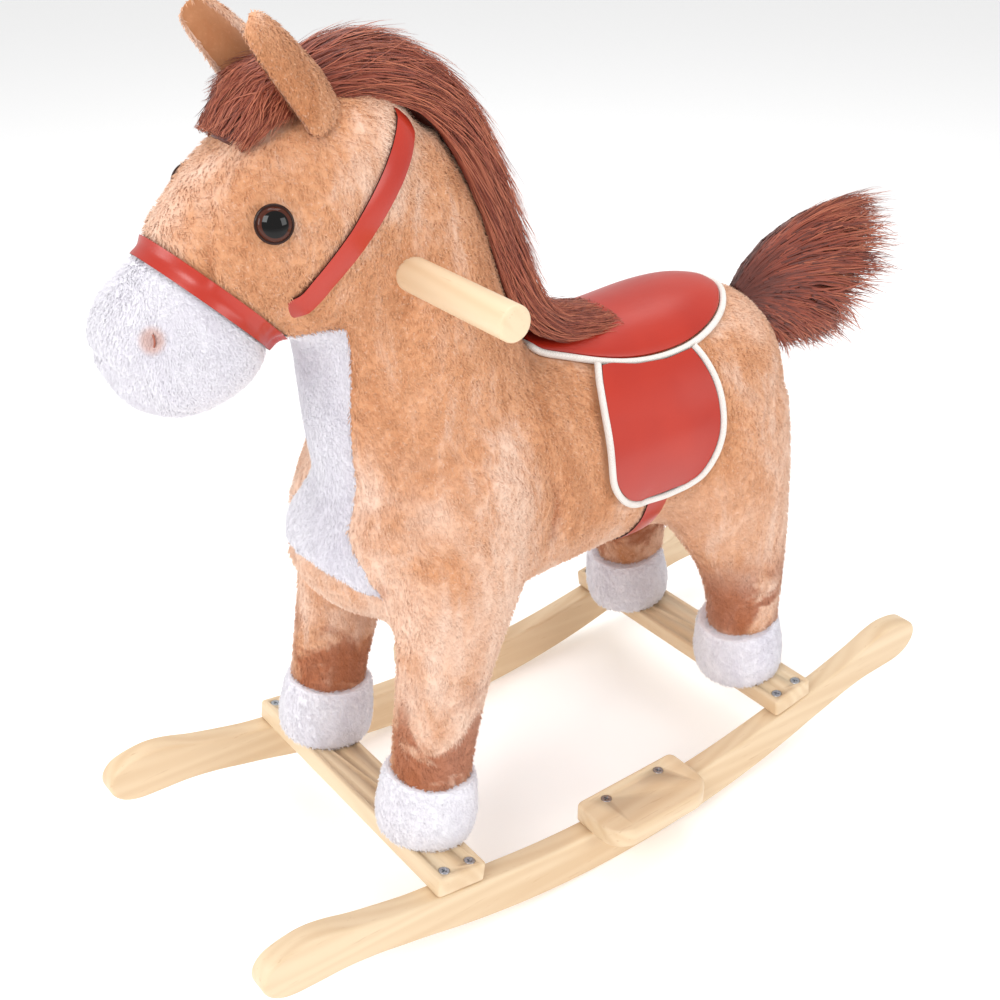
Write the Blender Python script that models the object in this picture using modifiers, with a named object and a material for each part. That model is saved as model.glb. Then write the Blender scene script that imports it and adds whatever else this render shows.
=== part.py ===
"""Rocking horse: a stuffed plush horse with a saddle and bridle, built round a wooden frame on two rockers.

Units are metres. X is across the horse (+X is its left), the horse faces -Y and +Z is up.
Shapes are laid out from the middle of the rockers; the parent empty then moves them so that the
origin is on the floor below the middle of the horse's overall length.
"""

import math

import bmesh
import bpy
from mathutils import Matrix, Vector
from mathutils.bvhtree import BVHTree

# ---------------------------------------------------------------- driving dimensions
ROCKER_AHEAD_OF_ORIGIN = 0.028
GAP = 0.0003

ROCKER_THICK = 0.018
ROCKER_SOLE_RADIUS = 0.720
ROCKER_OUTER_X = 0.1325

BAR_LENGTH = 2 * ROCKER_OUTER_X
BAR_WIDTH = 0.042
BAR_THICK = 0.016
BAR_Y = 0.178
BAR_Z = 0.060
BAR_TILT = math.radians(8.4)

# Plush form: stations (x, y, z, half width, half depth), one list for each limb.
BARREL = [
    (0, -0.190, 0.352, 0.030, 0.050),
    (0, -0.170, 0.340, 0.078, 0.096),
    (0, -0.112, 0.324, 0.096, 0.112),
    (0, -0.030, 0.318, 0.092, 0.100),
    (0, 0.060, 0.319, 0.090, 0.099),
    (0, 0.130, 0.320, 0.094, 0.101),
    (0, 0.180, 0.316, 0.086, 0.093),
    (0, 0.214, 0.308, 0.050, 0.056),
]
NECK = [
    (0, -0.092, 0.300, 0.070, 0.090),
    (0, -0.112, 0.380, 0.075, 0.092),
    (0, -0.128, 0.450, 0.069, 0.082),
    (0, -0.142, 0.520, 0.062, 0.074),
    (0, -0.155, 0.575, 0.050, 0.055),
]
HEAD = [
    (0, -0.118, 0.560, 0.035, 0.040),
    (0, -0.145, 0.558, 0.058, 0.066),
    (0, -0.190, 0.549, 0.066, 0.073),
    (0, -0.230, 0.533, 0.064, 0.062),
    (0, -0.262, 0.514, 0.057, 0.052),
    (0, -0.287, 0.496, 0.048, 0.043),
]
MUZZLE = [
    (0, -0.240, 0.493, 0.040, 0.036),
    (0, -0.258, 0.487, 0.053, 0.045),
    (0, -0.285, 0.480, 0.057, 0.049),
    (0, -0.314, 0.473, 0.048, 0.041),
    (0, -0.334, 0.469, 0.025, 0.022),
]
FRONT_LEG = [
    (0.062, -0.105, 0.360, 0.038, 0.055),
    (0.067, -0.125, 0.290, 0.041, 0.058),
    (0.070, -0.145, 0.210, 0.036, 0.043),
    (0.073, -0.160, 0.140, 0.035, 0.036),
    (0.074, -0.168, 0.085, 0.034, 0.035),
]
REAR_LEG = [
    (0.056, 0.138, 0.330, 0.044, 0.070),
    (0.063, 0.143, 0.265, 0.045, 0.068),
    (0.069, 0.159, 0.205, 0.039, 0.051),
    (0.072, 0.167, 0.150, 0.035, 0.039),
    (0.074, 0.168, 0.085, 0.034, 0.035),
]
HOOF_RADIUS = 0.037
HOOF_HEIGHT = 0.0515

POST_X = 0.073
POST_RADIUS = 0.010
BOARD_Z = 0.285
BOARD_THICK = 0.016
TENON = (-0.128, -0.098)
HANDLE_Y = -0.152
HANDLE_Z = 0.504
HANDLE_RADIUS = 0.0115
HANDLE_LENGTH = 0.320

FOOTREST_Z = 0.0423
FOOTREST_THICK = 0.016
SCREW_RADIUS = 0.0042

NECK_SEAM = (Vector((0, -0.118, 0.398)), Vector((0, -0.20, 0.98)))
LEG_SEAM_Z = 0.200
NOSE_CENTRE = Vector((0, -0.268, 0.500))
NOSE_AXIS = Vector((0, -0.71, -0.704)).normalized()
CHEEK_CENTRE = Vector((0, -0.190, 0.546))
CHEEK_AXIS = Vector((0, -0.740, 0.673)).normalized()
STRAP_WIDTH = 0.016
STRAP_THICK = 0.0016
STRAP_LIFT = 0.0020
STRAP_END = -57

# Bib: height, half width, how far back it reaches.
BIB = [
    (0.482, 0.046, -0.200),
    (0.450, 0.042, -0.194),
    (0.410, 0.037, -0.190),
    (0.360, 0.034, -0.186),
    (0.310, 0.026, -0.196),
    (0.270, 0.014, -0.196),
    (0.246, 0.005, -0.178),
]

# Mane crest: stations like the plush form's.
MANE = [
    (0, -0.168, 0.618, 0.012, 0.010),
    (0, -0.156, 0.618, 0.023, 0.022),
    (0, -0.125, 0.604, 0.030, 0.024),
    (0, -0.098, 0.578, 0.033, 0.024),
    (0, -0.076, 0.535, 0.034, 0.024),
    (0, -0.060, 0.490, 0.034, 0.024),
    (0, -0.040, 0.447, 0.035, 0.022),
    (0, -0.010, 0.424, 0.032, 0.016),
    (0, 0.022, 0.421, 0.020, 0.010),
    (0, 0.032, 0.420, 0.008, 0.005),
]
FORELOCK = [
    (0, -0.196, 0.616, 0.010, 0.008),
    (0, -0.208, 0.618, 0.024, 0.018),
    (0, -0.228, 0.608, 0.026, 0.018),
    (0, -0.246, 0.594, 0.018, 0.012),
    (0, -0.256, 0.583, 0.006, 0.005),
]
TAIL = [
    (0, 0.203, 0.394, 0.009, 0.009),
    (0, 0.218, 0.401, 0.014, 0.017),
    (0, 0.245, 0.408, 0.030, 0.036),
    (0, 0.285, 0.405, 0.038, 0.046),
    (0, 0.330, 0.398, 0.042, 0.050),
    (0, 0.375, 0.396, 0.034, 0.040),
    (0, 0.397, 0.396, 0.016, 0.020),
]
TAIL_ROOT = Vector((0, 0.203, 0.394))
EAR = [
    (0.036, -0.202, 0.604, 0.0050, 0.0110),
    (0.037, -0.209, 0.617, 0.0070, 0.0165),
    (0.040, -0.223, 0.635, 0.0080, 0.0190),
    (0.043, -0.237, 0.651, 0.0065, 0.0140),
    (0.044, -0.246, 0.662, 0.0030, 0.0050),
]

TAIL_SWING = 25
EAR_FLICK = 10

# Saddle seat: distance along the horse, and the half angle it covers from the top of the back.
SEAT = [
    (-0.032, 15.0),
    (-0.026, 18.0),
    (-0.012, 23.0),
    (0.014, 31.0),
    (0.040, 36.5),
    (0.068, 38.5),
    (0.096, 37.5),
    (0.122, 32.5),
    (0.142, 25.0),
    (0.156, 15.5),
    (0.163, 7.0),
]
# Saddle flap: angle below the top of the back, and its front and rear edges.
FLAP = [
    (45.5, 0.006, 0.092),
    (52.0, 0.000, 0.098),
    (62.0, -0.005, 0.102),
    (75.0, -0.008, 0.104),
    (88.0, -0.007, 0.102),
    (97.0, 0.000, 0.096),
    (104.0, 0.012, 0.084),
    (108.0, 0.026, 0.070),
]
BARREL_AXIS_Z = 0.318
BODY_RADIUS = 0.096
PIPING_RADIUS = 0.0026

COLOURS = {
    "beech": ((0.76, 0.58, 0.38, 1), 0.45, 0.0),
    "pine": ((0.66, 0.48, 0.29, 1), 0.60, 0.0),
    "screw_steel": ((0.62, 0.63, 0.64, 1), 0.32, 1.0),
    "caramel_plush": ((0.67, 0.36, 0.18, 1), 0.95, 0.0),
    "white_plush": ((0.86, 0.84, 0.87, 1), 0.95, 0.0),
    "chestnut_pile": ((0.30, 0.085, 0.045, 1), 0.80, 0.0),
    "brick_leather": ((0.46, 0.050, 0.022, 1), 0.32, 0.0),
    "white_piping": ((0.86, 0.83, 0.78, 1), 0.60, 0.0),
    "eye_plastic": ((0.012, 0.006, 0.004, 1), 0.08, 0.0),
    "rivet_enamel": ((0.85, 0.85, 0.86, 1), 0.25, 0.0),
}


# ---------------------------------------------------------------- helpers
def clear_scene():
    for obj in list(bpy.data.objects):
        bpy.data.objects.remove(obj, do_unlink=True)


def collection(name, hidden=False):
    made = bpy.data.collections.new(name)
    bpy.context.scene.collection.children.link(made)
    made.hide_render = hidden
    return made


def material(name):
    found = bpy.data.materials.get(name)
    if found:
        return found
    colour, rough, metal = COLOURS[name]
    made = bpy.data.materials.new(name)
    made.use_nodes = True
    shader = made.node_tree.nodes["Principled BSDF"]
    shader.inputs["Base Color"].default_value = colour
    shader.inputs["Roughness"].default_value = rough
    shader.inputs["Metallic"].default_value = metal
    return made


def add(name, mesh, colour=None, smooth=False, parent=None):
    """Puts a mesh in the scene as a named piece, or as a cutter when it has no colour."""
    mesh.name = name
    obj = bpy.data.objects.new(name, mesh)
    home = PIECES if colour else CUTTERS
    home.objects.link(obj)
    if colour:
        mesh.materials.append(material(colour))
        obj.parent = parent or ROOT
    else:
        obj.hide_render = True
        obj.display_type = "WIRE"
        obj.parent = ROOT
    if smooth:
        for face in mesh.polygons:
            face.use_smooth = True
    return obj


def to_mesh(bm):
    bmesh.ops.recalc_face_normals(bm, faces=bm.faces)
    mesh = bpy.data.meshes.new("shape")
    bm.to_mesh(mesh)
    bm.free()
    return mesh


def evaluated(obj):
    """The mesh of an object after its modifiers, in the design frame."""
    bpy.context.view_layer.update()
    mesh = bpy.data.meshes.new_from_object(obj.evaluated_get(bpy.context.evaluated_depsgraph_get()))
    mesh.materials.clear()
    return mesh


def copy_cutter(obj, grow):
    """A cutter shaped like a piece, grown a little along its normals."""
    cutter = add(obj.name + "_clearance", evaluated(obj))
    swell = cutter.modifiers.new("grow", "DISPLACE")
    swell.strength = grow
    swell.mid_level = 0
    return cutter


def cut(obj, cutter, operation="DIFFERENCE", solver="EXACT", use_self=False):
    boolean = obj.modifiers.new(cutter.name, "BOOLEAN")
    boolean.operation = operation
    boolean.solver = solver
    boolean.object = cutter
    if use_self:
        boolean.use_self = True


def plate(outline, thickness, rounding, segments=2):
    """A flat board: the outline in the XY plane, centred on Z, with rounded edges."""
    curve = bpy.data.curves.new("outline", "CURVE")
    curve.dimensions = "2D"
    curve.fill_mode = "BOTH"
    curve.extrude = thickness / 2
    spline = curve.splines.new("POLY")
    spline.points.add(len(outline) - 1)
    for point, (x, y) in zip(spline.points, outline):
        point.co = (x, y, 0, 1)
    spline.use_cyclic_u = True
    obj = bpy.data.objects.new("outline", curve)
    bpy.context.scene.collection.objects.link(obj)
    mesh = evaluated(obj)
    bpy.data.objects.remove(obj, do_unlink=True)
    bm = bmesh.new()
    bm.from_mesh(mesh)
    bmesh.ops.remove_doubles(bm, verts=bm.verts, dist=1e-6)
    bmesh.ops.dissolve_limit(bm, angle_limit=0.01, verts=bm.verts, edges=bm.edges)
    if rounding:
        rim = [e for e in bm.edges if abs(e.verts[0].co.z - e.verts[1].co.z) < 1e-7]
        bmesh.ops.bevel(bm, geom=rim, offset=rounding, segments=segments, profile=0.5, affect="EDGES")
    bmesh.ops.triangulate(bm, faces=bm.faces)
    return to_mesh(bm)


def turned(profile, sides, matrix=None):
    """A solid of revolution about Z: the profile runs (radius, height) from one end of the axis to the other."""
    bm = bmesh.new()
    verts = [bm.verts.new((r, 0, z)) for r, z in profile]
    edges = [bm.edges.new(pair) for pair in zip(verts, verts[1:])]
    bmesh.ops.spin(bm, geom=verts + edges, axis=(0, 0, 1), cent=(0, 0, 0), angle=2 * math.pi,
                   steps=sides, use_merge=True, use_duplicate=False)
    bmesh.ops.remove_doubles(bm, verts=bm.verts, dist=1e-6)
    if matrix:
        bmesh.ops.transform(bm, matrix=matrix, verts=bm.verts)
    return to_mesh(bm)


def facing(origin, axis):
    """A placement whose Z runs along the axis."""
    return Matrix.Translation(origin) @ Vector(axis).to_track_quat("Z", "Y").to_matrix().to_4x4()


def arc(cx, cy, radius, start, end, pieces):
    angles = [math.radians(angle) for angle in steps(start, end, pieces)]
    return [(cx + radius * math.cos(a), cy + radius * math.sin(a)) for a in angles]


def catmull(values, t):
    """A smooth curve through the values, read at t from 0 to 1."""
    last = len(values) - 1
    at = min(t * last, last - 1e-9)
    i = int(at)
    f = at - i
    p1, p2 = values[i], values[i + 1]
    p0 = values[max(i - 1, 0)]
    p3 = values[min(i + 2, last)]
    return tuple(
        0.5 * (2 * b + (c - a) * f + (2 * a - 5 * b + 4 * c - d) * f * f + (3 * b - a - 3 * c + d) * f ** 3)
        for a, b, c, d in zip(p0, p1, p2, p3)
    )


def steps(start, end, count):
    return [start + (end - start) * k / count for k in range(count + 1)]


def stack(bm, loops):
    """Joins rings of points into one closed solid with capped ends."""
    rows = [[bm.verts.new(p) for p in loop] for loop in loops]
    count = len(rows[0])
    for low, high in zip(rows, rows[1:]):
        for i in range(count):
            j = (i + 1) % count
            bm.faces.new((low[i], low[j], high[j], high[i]))
    bm.faces.new(list(reversed(rows[0])))
    bm.faces.new(rows[-1])


def loft(bm, stations, rings=14, sides=16, mirror=1, across=Vector((1, 0, 0))):
    """Adds a limb of elliptical sections (half width across, half depth) along a smooth path."""
    centres = []
    for k in range(rings + 1):
        x, y, z, a, b = catmull(stations, k / rings)
        centres.append((Vector((x * mirror, y, z)), a, b))
    loops = []
    for k, (centre, a, b) in enumerate(centres):
        before = centres[max(k - 1, 0)][0]
        after = centres[min(k + 1, rings)][0]
        along = (after - before).normalized()
        up = across.cross(along).normalized()
        side = along.cross(up).normalized()
        turns = [2 * math.pi * i / sides for i in range(sides)]
        loops.append([centre + side * a * math.cos(q) + up * b * math.sin(q) for q in turns])
    stack(bm, loops)


def shell(low, high, closed=False):
    """A thin solid between two grids of points; closed joins the last row to the first."""
    bm = bmesh.new()
    sheets = []
    for grid in (low, high):
        sheets.append([[bm.verts.new(p) for p in row] for row in grid])
    rows = len(low)
    cols = len(low[0])
    spans = rows if closed else rows - 1
    for sheet in sheets:
        for i in range(spans):
            for j in range(cols - 1):
                k = (i + 1) % rows
                bm.faces.new((sheet[i][j], sheet[k][j], sheet[k][j + 1], sheet[i][j + 1]))
    bottom, top = sheets
    for i in range(spans):
        k = (i + 1) % rows
        bm.faces.new((bottom[i][0], bottom[k][0], top[k][0], top[i][0]))
        bm.faces.new((bottom[i][-1], bottom[k][-1], top[k][-1], top[i][-1]))
    if not closed:
        for i in (0, rows - 1):
            for j in range(cols - 1):
                bm.faces.new((bottom[i][j], bottom[i][j + 1], top[i][j + 1], top[i][j]))
    return to_mesh(bm)


def tube(path, radius, sides=6):
    """A round cord along a path of points."""
    bm = bmesh.new()
    loops = []
    for k, point in enumerate(path):
        along = (path[min(k + 1, len(path) - 1)] - path[max(k - 1, 0)]).normalized()
        up = along.orthogonal().normalized() if k == 0 else (up - along * up.dot(along)).normalized()
        side = along.cross(up)
        turns = [2 * math.pi * i / sides for i in range(sides)]
        loops.append([point + (up * math.cos(q) + side * math.sin(q)) * radius for q in turns])
    stack(bm, loops)
    return to_mesh(bm)


def block(corners_low, corners_high):
    """A six-sided cutter from four low corners and four high ones."""
    bm = bmesh.new()
    stack(bm, [corners_low, corners_high])
    return to_mesh(bm)


# ---------------------------------------------------------------- wooden base
def sole(y):
    return ROCKER_SOLE_RADIUS - math.sqrt(ROCKER_SOLE_RADIUS ** 2 - y * y)


def rocker_outline():
    """Half of a rocker in (y, z): the sole from the middle out, round the toe and back along the top."""
    half = [(y, sole(y)) for y in (0.0, 0.03, 0.06, 0.09, 0.12, 0.15, 0.18, 0.205)]
    half += [(0.228, 0.0355), (0.250, 0.0410), (0.275, 0.0451), (0.300, 0.0463), (0.318, 0.0475)]
    half += [(0.330, 0.0515), (0.338, 0.0590), (0.341, 0.0680), (0.3385, 0.0765), (0.331, 0.0833)]
    half += [(0.318, 0.0870), (0.302, 0.0882), (0.285, 0.0850), (0.264, 0.0778), (0.240, 0.0712)]
    half += [(0.215, 0.0652), (0.190, 0.0612)]
    half += [(0.160, 0.0552), (0.130, 0.0503), (0.100, 0.0460), (0.070, 0.0430), (0.035, 0.0411), (0.0, 0.0405)]
    return half


def rocker(side):
    half = rocker_outline()
    outline = half + [(-y, z) for y, z in reversed(half[1:-1])]
    mesh = plate(outline, ROCKER_THICK, 0.0022, 1)
    turn = Matrix(((0, 0, 1, 0), (1, 0, 0, 0), (0, 1, 0, 0), (0, 0, 0, 1)))
    centre = side * (ROCKER_OUTER_X - ROCKER_THICK / 2)
    mesh.transform(Matrix.Translation((centre, 0, 0)) @ turn)
    return add("rocker_left" if side > 0 else "rocker_right", mesh, "beech")


def bar_frame(end):
    """The placement of a crossbar: origin at the middle of its top face, Z out of it. end is -1 at the front."""
    tilt = Matrix.Rotation(end * BAR_TILT, 4, "X")
    base = Matrix.Translation((0, end * BAR_Y, BAR_Z)) @ tilt
    return base @ Matrix.Translation((0, 0, BAR_THICK))


def crossbar(end):
    hw, hl, r = BAR_WIDTH / 2, BAR_LENGTH / 2, 0.003
    outline = []
    for sx, sy, start in ((1, 1, 0), (-1, 1, 90), (-1, -1, 180), (1, -1, 270)):
        outline += arc(sx * (hl - r), sy * (hw - r), r, start, start + 90, 2)
    mesh = plate(outline, BAR_THICK, 0.0016)
    mesh.transform(bar_frame(end) @ Matrix.Translation((0, 0, -BAR_THICK / 2)))
    return add("crossbar_front" if end < 0 else "crossbar_rear", mesh, "beech")


def footrest(side):
    inner, outer, half = 0.111, 0.163, 0.052
    outline = arc(outer - 0.021, half - 0.021, 0.021, 0, 90, 6)
    outline += arc(inner + 0.006, half - 0.006, 0.006, 90, 180, 3)
    outline += arc(inner + 0.006, -half + 0.006, 0.006, 180, 270, 3)
    outline += arc(outer - 0.021, -half + 0.021, 0.021, 270, 360, 6)
    if side < 0:
        outline = [(-x, y) for x, y in reversed(outline)]
    mesh = plate(outline, FOOTREST_THICK, 0.0018)
    mesh.transform(Matrix.Translation((0, 0, FOOTREST_Z + FOOTREST_THICK / 2)))
    return add("footrest_left" if side > 0 else "footrest_right", mesh, "beech")


def cross_recess(place):
    a, b = 0.00045, 0.0021
    outline = [(b, -a), (b, a), (a, a), (a, b), (-a, b), (-a, a)]
    outline += [(-x, -y) for x, y in outline]
    mesh = plate(outline, 0.0026, 0)
    mesh.transform(place @ Matrix.Rotation(0.4, 4, "Z"))
    return add("recess", mesh)


def wood_screw(name, place, woods):
    """A countersunk screw: the placement's origin is on the wood's face and Z points out of it."""
    r = SCREW_RADIUS
    profile = [(0, -0.0302), (0.0020, -0.0270), (0.0020, -0.0030), (r, -0.0008), (r, -0.0004), (0, -0.0004)]
    screw = add(name, turned(profile, 10, place), "screw_steel")
    cut(screw, cross_recess(place))
    bore = [(0, -0.0312), (0.0024, -0.0312), (0.0024, -0.0032), (r + 0.0004, -0.0010)]
    bore += [(r + 0.0004, 0.004), (0, 0.004)]
    hole = add(name + "_hole", turned(bore, 10, place))
    for wood in woods:
        cut(wood, hole)


def base_pieces():
    rockers = {side: rocker(side) for side in (1, -1)}
    for end, end_name in ((-1, "front"), (1, "rear")):
        bar = crossbar(end)
        for side, side_name in ((1, "left"), (-1, "right")):
            for step, step_name in ((-1, "a"), (1, "b")):
                x = side * (ROCKER_OUTER_X - ROCKER_THICK / 2)
                place = bar_frame(end) @ Matrix.Translation((x, step * 0.0115, 0))
                wood_screw(f"screw_{end_name}_{side_name}_{step_name}", place, (bar, rockers[side]))
        for side, side_name in ((1, "left"), (-1, "right")):
            leg_mount(end, end_name, side, side_name, bar)
    for side, side_name in ((1, "left"), (-1, "right")):
        rest = footrest(side)
        for step, step_name in ((-1, "a"), (1, "b")):
            place = Matrix.Translation((side * 0.1215, step * 0.028, FOOTREST_Z + FOOTREST_THICK))
            wood_screw(f"screw_footrest_{side_name}_{step_name}", place, (rest, rockers[side]))


# ---------------------------------------------------------------- inner frame
def post_frame(end, side):
    """Where a leg post stands on its crossbar."""
    return bar_frame(end) @ Matrix.Translation((side * POST_X, -end * 0.006, 0))


def leg_mount(end, end_name, side, side_name, bar):
    """A leg post standing on the crossbar, held by a bolt from beneath."""
    place = post_frame(end, side)
    up = place.to_3x3() @ Vector((0, 0, 1))
    foot = place.translation
    length = (BOARD_Z - GAP - foot.z) / up.z
    bm = bmesh.new()
    bmesh.ops.create_cone(bm, cap_ends=True, segments=20, radius1=POST_RADIUS, radius2=POST_RADIUS, depth=1)
    for vert in bm.verts:
        at = place @ Vector((vert.co.x, vert.co.y, 0))
        reach = (BOARD_Z - GAP - at.z) / up.z if vert.co.z > 0 else GAP
        vert.co = at + up * reach
    post = add(f"leg_post_{end_name}_{side_name}", to_mesh(bm), "pine")
    head = -BAR_THICK + 0.0055
    profile = [(0, head - 0.0050), (0.0040, head - 0.0048), (0.0062, head - 0.0030), (0.0062, head)]
    profile += [(0.0030, head), (0.0030, 0.0300), (0.0018, 0.0315), (0, 0.0315)]
    add(f"leg_bolt_{end_name}_{side_name}", turned(profile, 14, place), "screw_steel")
    bore = [(0, -0.030), (0.0070, -0.030), (0.0070, head + 0.0004), (0.0034, head + 0.0004)]
    bore += [(0.0034, 0.0325), (0, 0.0325)]
    hole = add(f"leg_bolt_{end_name}_{side_name}_hole", turned(bore, 14, place))
    cut(bar, hole)
    cut(post, hole)
    wide = POST_RADIUS + 0.0006
    space = turned([(0, -0.004), (wide, -0.004), (wide, length + 0.003), (0, length + 0.003)], 20, place)
    POST_SPACES.append(add(f"leg_post_{end_name}_{side_name}_space", space))


def body_board():
    quarter = [(0.085, 0.112), (0.085, 0.140), (0.073, 0.152)]
    outline = [(0.045, -0.090), (0.045, 0.090)] + quarter
    outline += [(-x, y) for x, y in reversed(quarter)] + [(-0.045, 0.090), (-0.045, -0.090)]
    outline += [(-x, -y) for x, y in quarter] + [(x, -y) for x, y in reversed(quarter)]
    mesh = plate(outline, BOARD_THICK, 0.001, 1)
    mesh.transform(Matrix.Translation((0, 0, BOARD_Z + BOARD_THICK / 2)))
    return add("body_board", mesh, "pine")


def neck_board():
    """An upright board with a tenon let into the body board and a hole for the handle."""
    top = BOARD_Z + BOARD_THICK + GAP
    low = BOARD_Z + 0.002
    outline = [(-0.145, top), (TENON[0], top), (TENON[0], low), (TENON[1], low), (TENON[1], top)]
    outline += [(-0.078, top), (-0.120, 0.534), (-0.128, 0.540), (-0.168, 0.540), (-0.176, 0.534)]
    mesh = plate(outline, 0.016, 0.001, 1)
    turn = Matrix(((0, 0, 1, 0), (1, 0, 0, 0), (0, 1, 0, 0), (0, 0, 0, 1)))
    mesh.transform(turn)
    return add("neck_board", mesh, "pine")


def ball(radius, at):
    profile = [(radius * math.sin(a), -radius * math.cos(a)) for a in steps(0, math.pi, 6)]
    return turned(profile, 12, Matrix.Translation(at))


def rod(radius, half, at, count=24, ease=0.0, axis="Y"):
    """A round rod: turned about Y it lies across the horse, turned about X it lies along it."""
    profile = [(0, -half), (radius - ease, -half)]
    if ease:
        profile += [(radius, -half + ease), (radius, half - ease)]
    profile += [(radius - ease, half), (0, half)]
    return turned(profile, count, Matrix.Translation(at) @ Matrix.Rotation(math.pi / 2, 4, axis))


# ---------------------------------------------------------------- plush
def plush_form(name):
    """The stuffed shape as one skin, before it is parted at its seams."""
    bm = bmesh.new()
    loft(bm, BARREL, 24, 24)
    loft(bm, NECK, 16, 20)
    loft(bm, HEAD, 16, 20)
    loft(bm, MUZZLE, 14, 20)
    for mirror in (1, -1):
        loft(bm, FRONT_LEG, 16, 16, mirror)
        loft(bm, REAR_LEG, 16, 16, mirror)
    obj = add(name, to_mesh(bm))
    remesh = obj.modifiers.new("stuffing", "REMESH")
    remesh.mode = "VOXEL"
    remesh.voxel_size = 0.007
    soften = obj.modifiers.new("soften", "SMOOTH")
    soften.factor = 0.5
    soften.iterations = 8
    thin = obj.modifiers.new("thin", "DECIMATE")
    thin.ratio = 0.085
    thin.use_symmetry = True
    mesh = evaluated(obj)
    bpy.data.objects.remove(obj, do_unlink=True)
    return add(name, mesh)


def plush(name, colour, keep, remove):
    """One stuffed piece: the part of the form inside the keep cutters, less the others.

    The exact solver loses cuts on this form, so these use the manifold one.
    """
    piece = add(name, FORM.data.copy(), colour, smooth=True)
    for cutter in keep:
        cut(piece, cutter, "INTERSECT", "MANIFOLD")
    for cutter in remove:
        cut(piece, cutter, "DIFFERENCE", "MANIFOLD")
    return piece


def half_space(name, point, normal, lift, reach=0.5):
    """A big block on the side of a plane that the normal points to, starting lift away from it."""
    place = facing(point, normal)
    low = [place @ Vector((x * reach, y * reach, lift)) for x, y in ((1, 1), (-1, 1), (-1, -1), (1, -1))]
    high = [place @ Vector((x * reach, y * reach, reach)) for x, y in ((1, 1), (-1, 1), (-1, -1), (1, -1))]
    return add(name, block(low, high))


def muzzle_box(name, grow):
    """The space in front of the noseband."""
    up = NOSE_AXIS.cross(Vector((1, 0, 0))).normalized()
    up = up if up.z > 0 else -up
    across = Vector((1, 0, 0))
    corners = ((1, 1), (-1, 1), (-1, -1), (1, -1))
    spans = [across * x * (0.080 + grow) + up * (0.090 + grow if y > 0 else -0.062 - grow) for x, y in corners]
    low = [NOSE_CENTRE - NOSE_AXIS * grow + s for s in spans]
    high = [NOSE_CENTRE + NOSE_AXIS * (0.150 + grow) + s for s in spans]
    return add(name, block(low, high))


def bib_block(name, grow):
    bm = bmesh.new()
    loops = []
    for k, (z, w, back) in enumerate(BIB):
        z += grow if k == 0 else 0
        z -= grow if k == len(BIB) - 1 else 0
        x, y = w + grow, back + grow
        loops.append([Vector(p) for p in ((-x, -0.30, z), (x, -0.30, z), (x, y, z), (-x, y, z))])
    stack(bm, loops)
    return add(name, to_mesh(bm))


def leg_block(end, side, grow):
    """The space of one leg between its hoof and the body."""
    place = bar_frame(end)
    corners = [(0.004, 0.30), (0.20, 0.30), (0.20, 0.02), (0.004, 0.02)]
    up = place.to_3x3() @ Vector((0, 0, 1))
    low = []
    high = []
    base = place.translation + up * (HOOF_HEIGHT + 2 * GAP)
    for x, y in corners:
        z = base.z - ((end * y - base.y) * up.y) / up.z
        low.append(Vector((side * x, end * y, z)))
        high.append(Vector((side * x, end * y, LEG_SEAM_Z - grow)))
    return add(f"leg_space_{end}_{side}", block(low, high))


def hoof(end, end_name, side, side_name):
    r = HOOF_RADIUS
    hole = POST_RADIUS + 0.0006
    g = GAP
    profile = [(hole, g), (r - 0.010, g), (r - 0.003, 0.0035), (r, 0.011), (r + 0.0005, 0.024)]
    profile += [(r - 0.0010, 0.040), (r - 0.0012, 0.047), (r - 0.0030, HOOF_HEIGHT)]
    profile += [(hole, HOOF_HEIGHT), (hole, g)]
    mesh = turned(profile, 20, post_frame(end, side))
    return add(f"hoof_{end_name}_{side_name}", mesh, "white_plush", smooth=True)


def pivot(name, at):
    """An empty on a joint, for the pieces that move about it."""
    made = bpy.data.objects.new(name, None)
    PIECES.objects.link(made)
    made.parent = ROOT
    made.location = at
    return made


def add_moving(name, mesh, colour, joint):
    mesh.transform(Matrix.Translation(-joint.location))
    return add(name, mesh, colour, smooth=True, parent=joint)


def ear(side, side_name):
    """A leaf-shaped ear on a rounded root, which turns in a matching hollow in the head."""
    bm = bmesh.new()
    loft(bm, EAR, 9, 10, side)
    at = Vector((side * EAR[0][0], EAR[0][1], EAR[0][2]))
    piece = add_moving(f"ear_{side_name}", to_mesh(bm), "caramel_plush", pivot(f"ear_root_{side_name}", at))
    cut(piece, add(f"ear_{side_name}_root", rod(0.0070, 0.0120, at, 16, axis="X")), "UNION")
    return add(f"ear_{side_name}_hollow", rod(0.0077, 0.0127, at, 16, axis="X"))


def swept(space, at, axis, limit):
    """The space of the plush, also turned about a joint: a piece cut by these clears it at every angle."""
    spaces = [space]
    for part in (-1, -0.5, 0.5, 1):
        turn = Matrix.Rotation(math.radians(part * limit), 4, axis)
        mesh = evaluated(space)
        mesh.transform(Matrix.Translation(at) @ turn @ Matrix.Translation(-at))
        spaces.append(add(f"{space.name}_turned", mesh))
    return spaces


def trim_to_head(piece, form_space):
    """Cuts the ear to the head at every angle it flicks to, then lets its root back in."""
    at = piece.parent.location
    for cutter in swept(form_space, at, "Y", EAR_FLICK):
        cut(piece, cutter, use_self=True)
    piece.modifiers.move(0, len(piece.modifiers) - 1)


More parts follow.
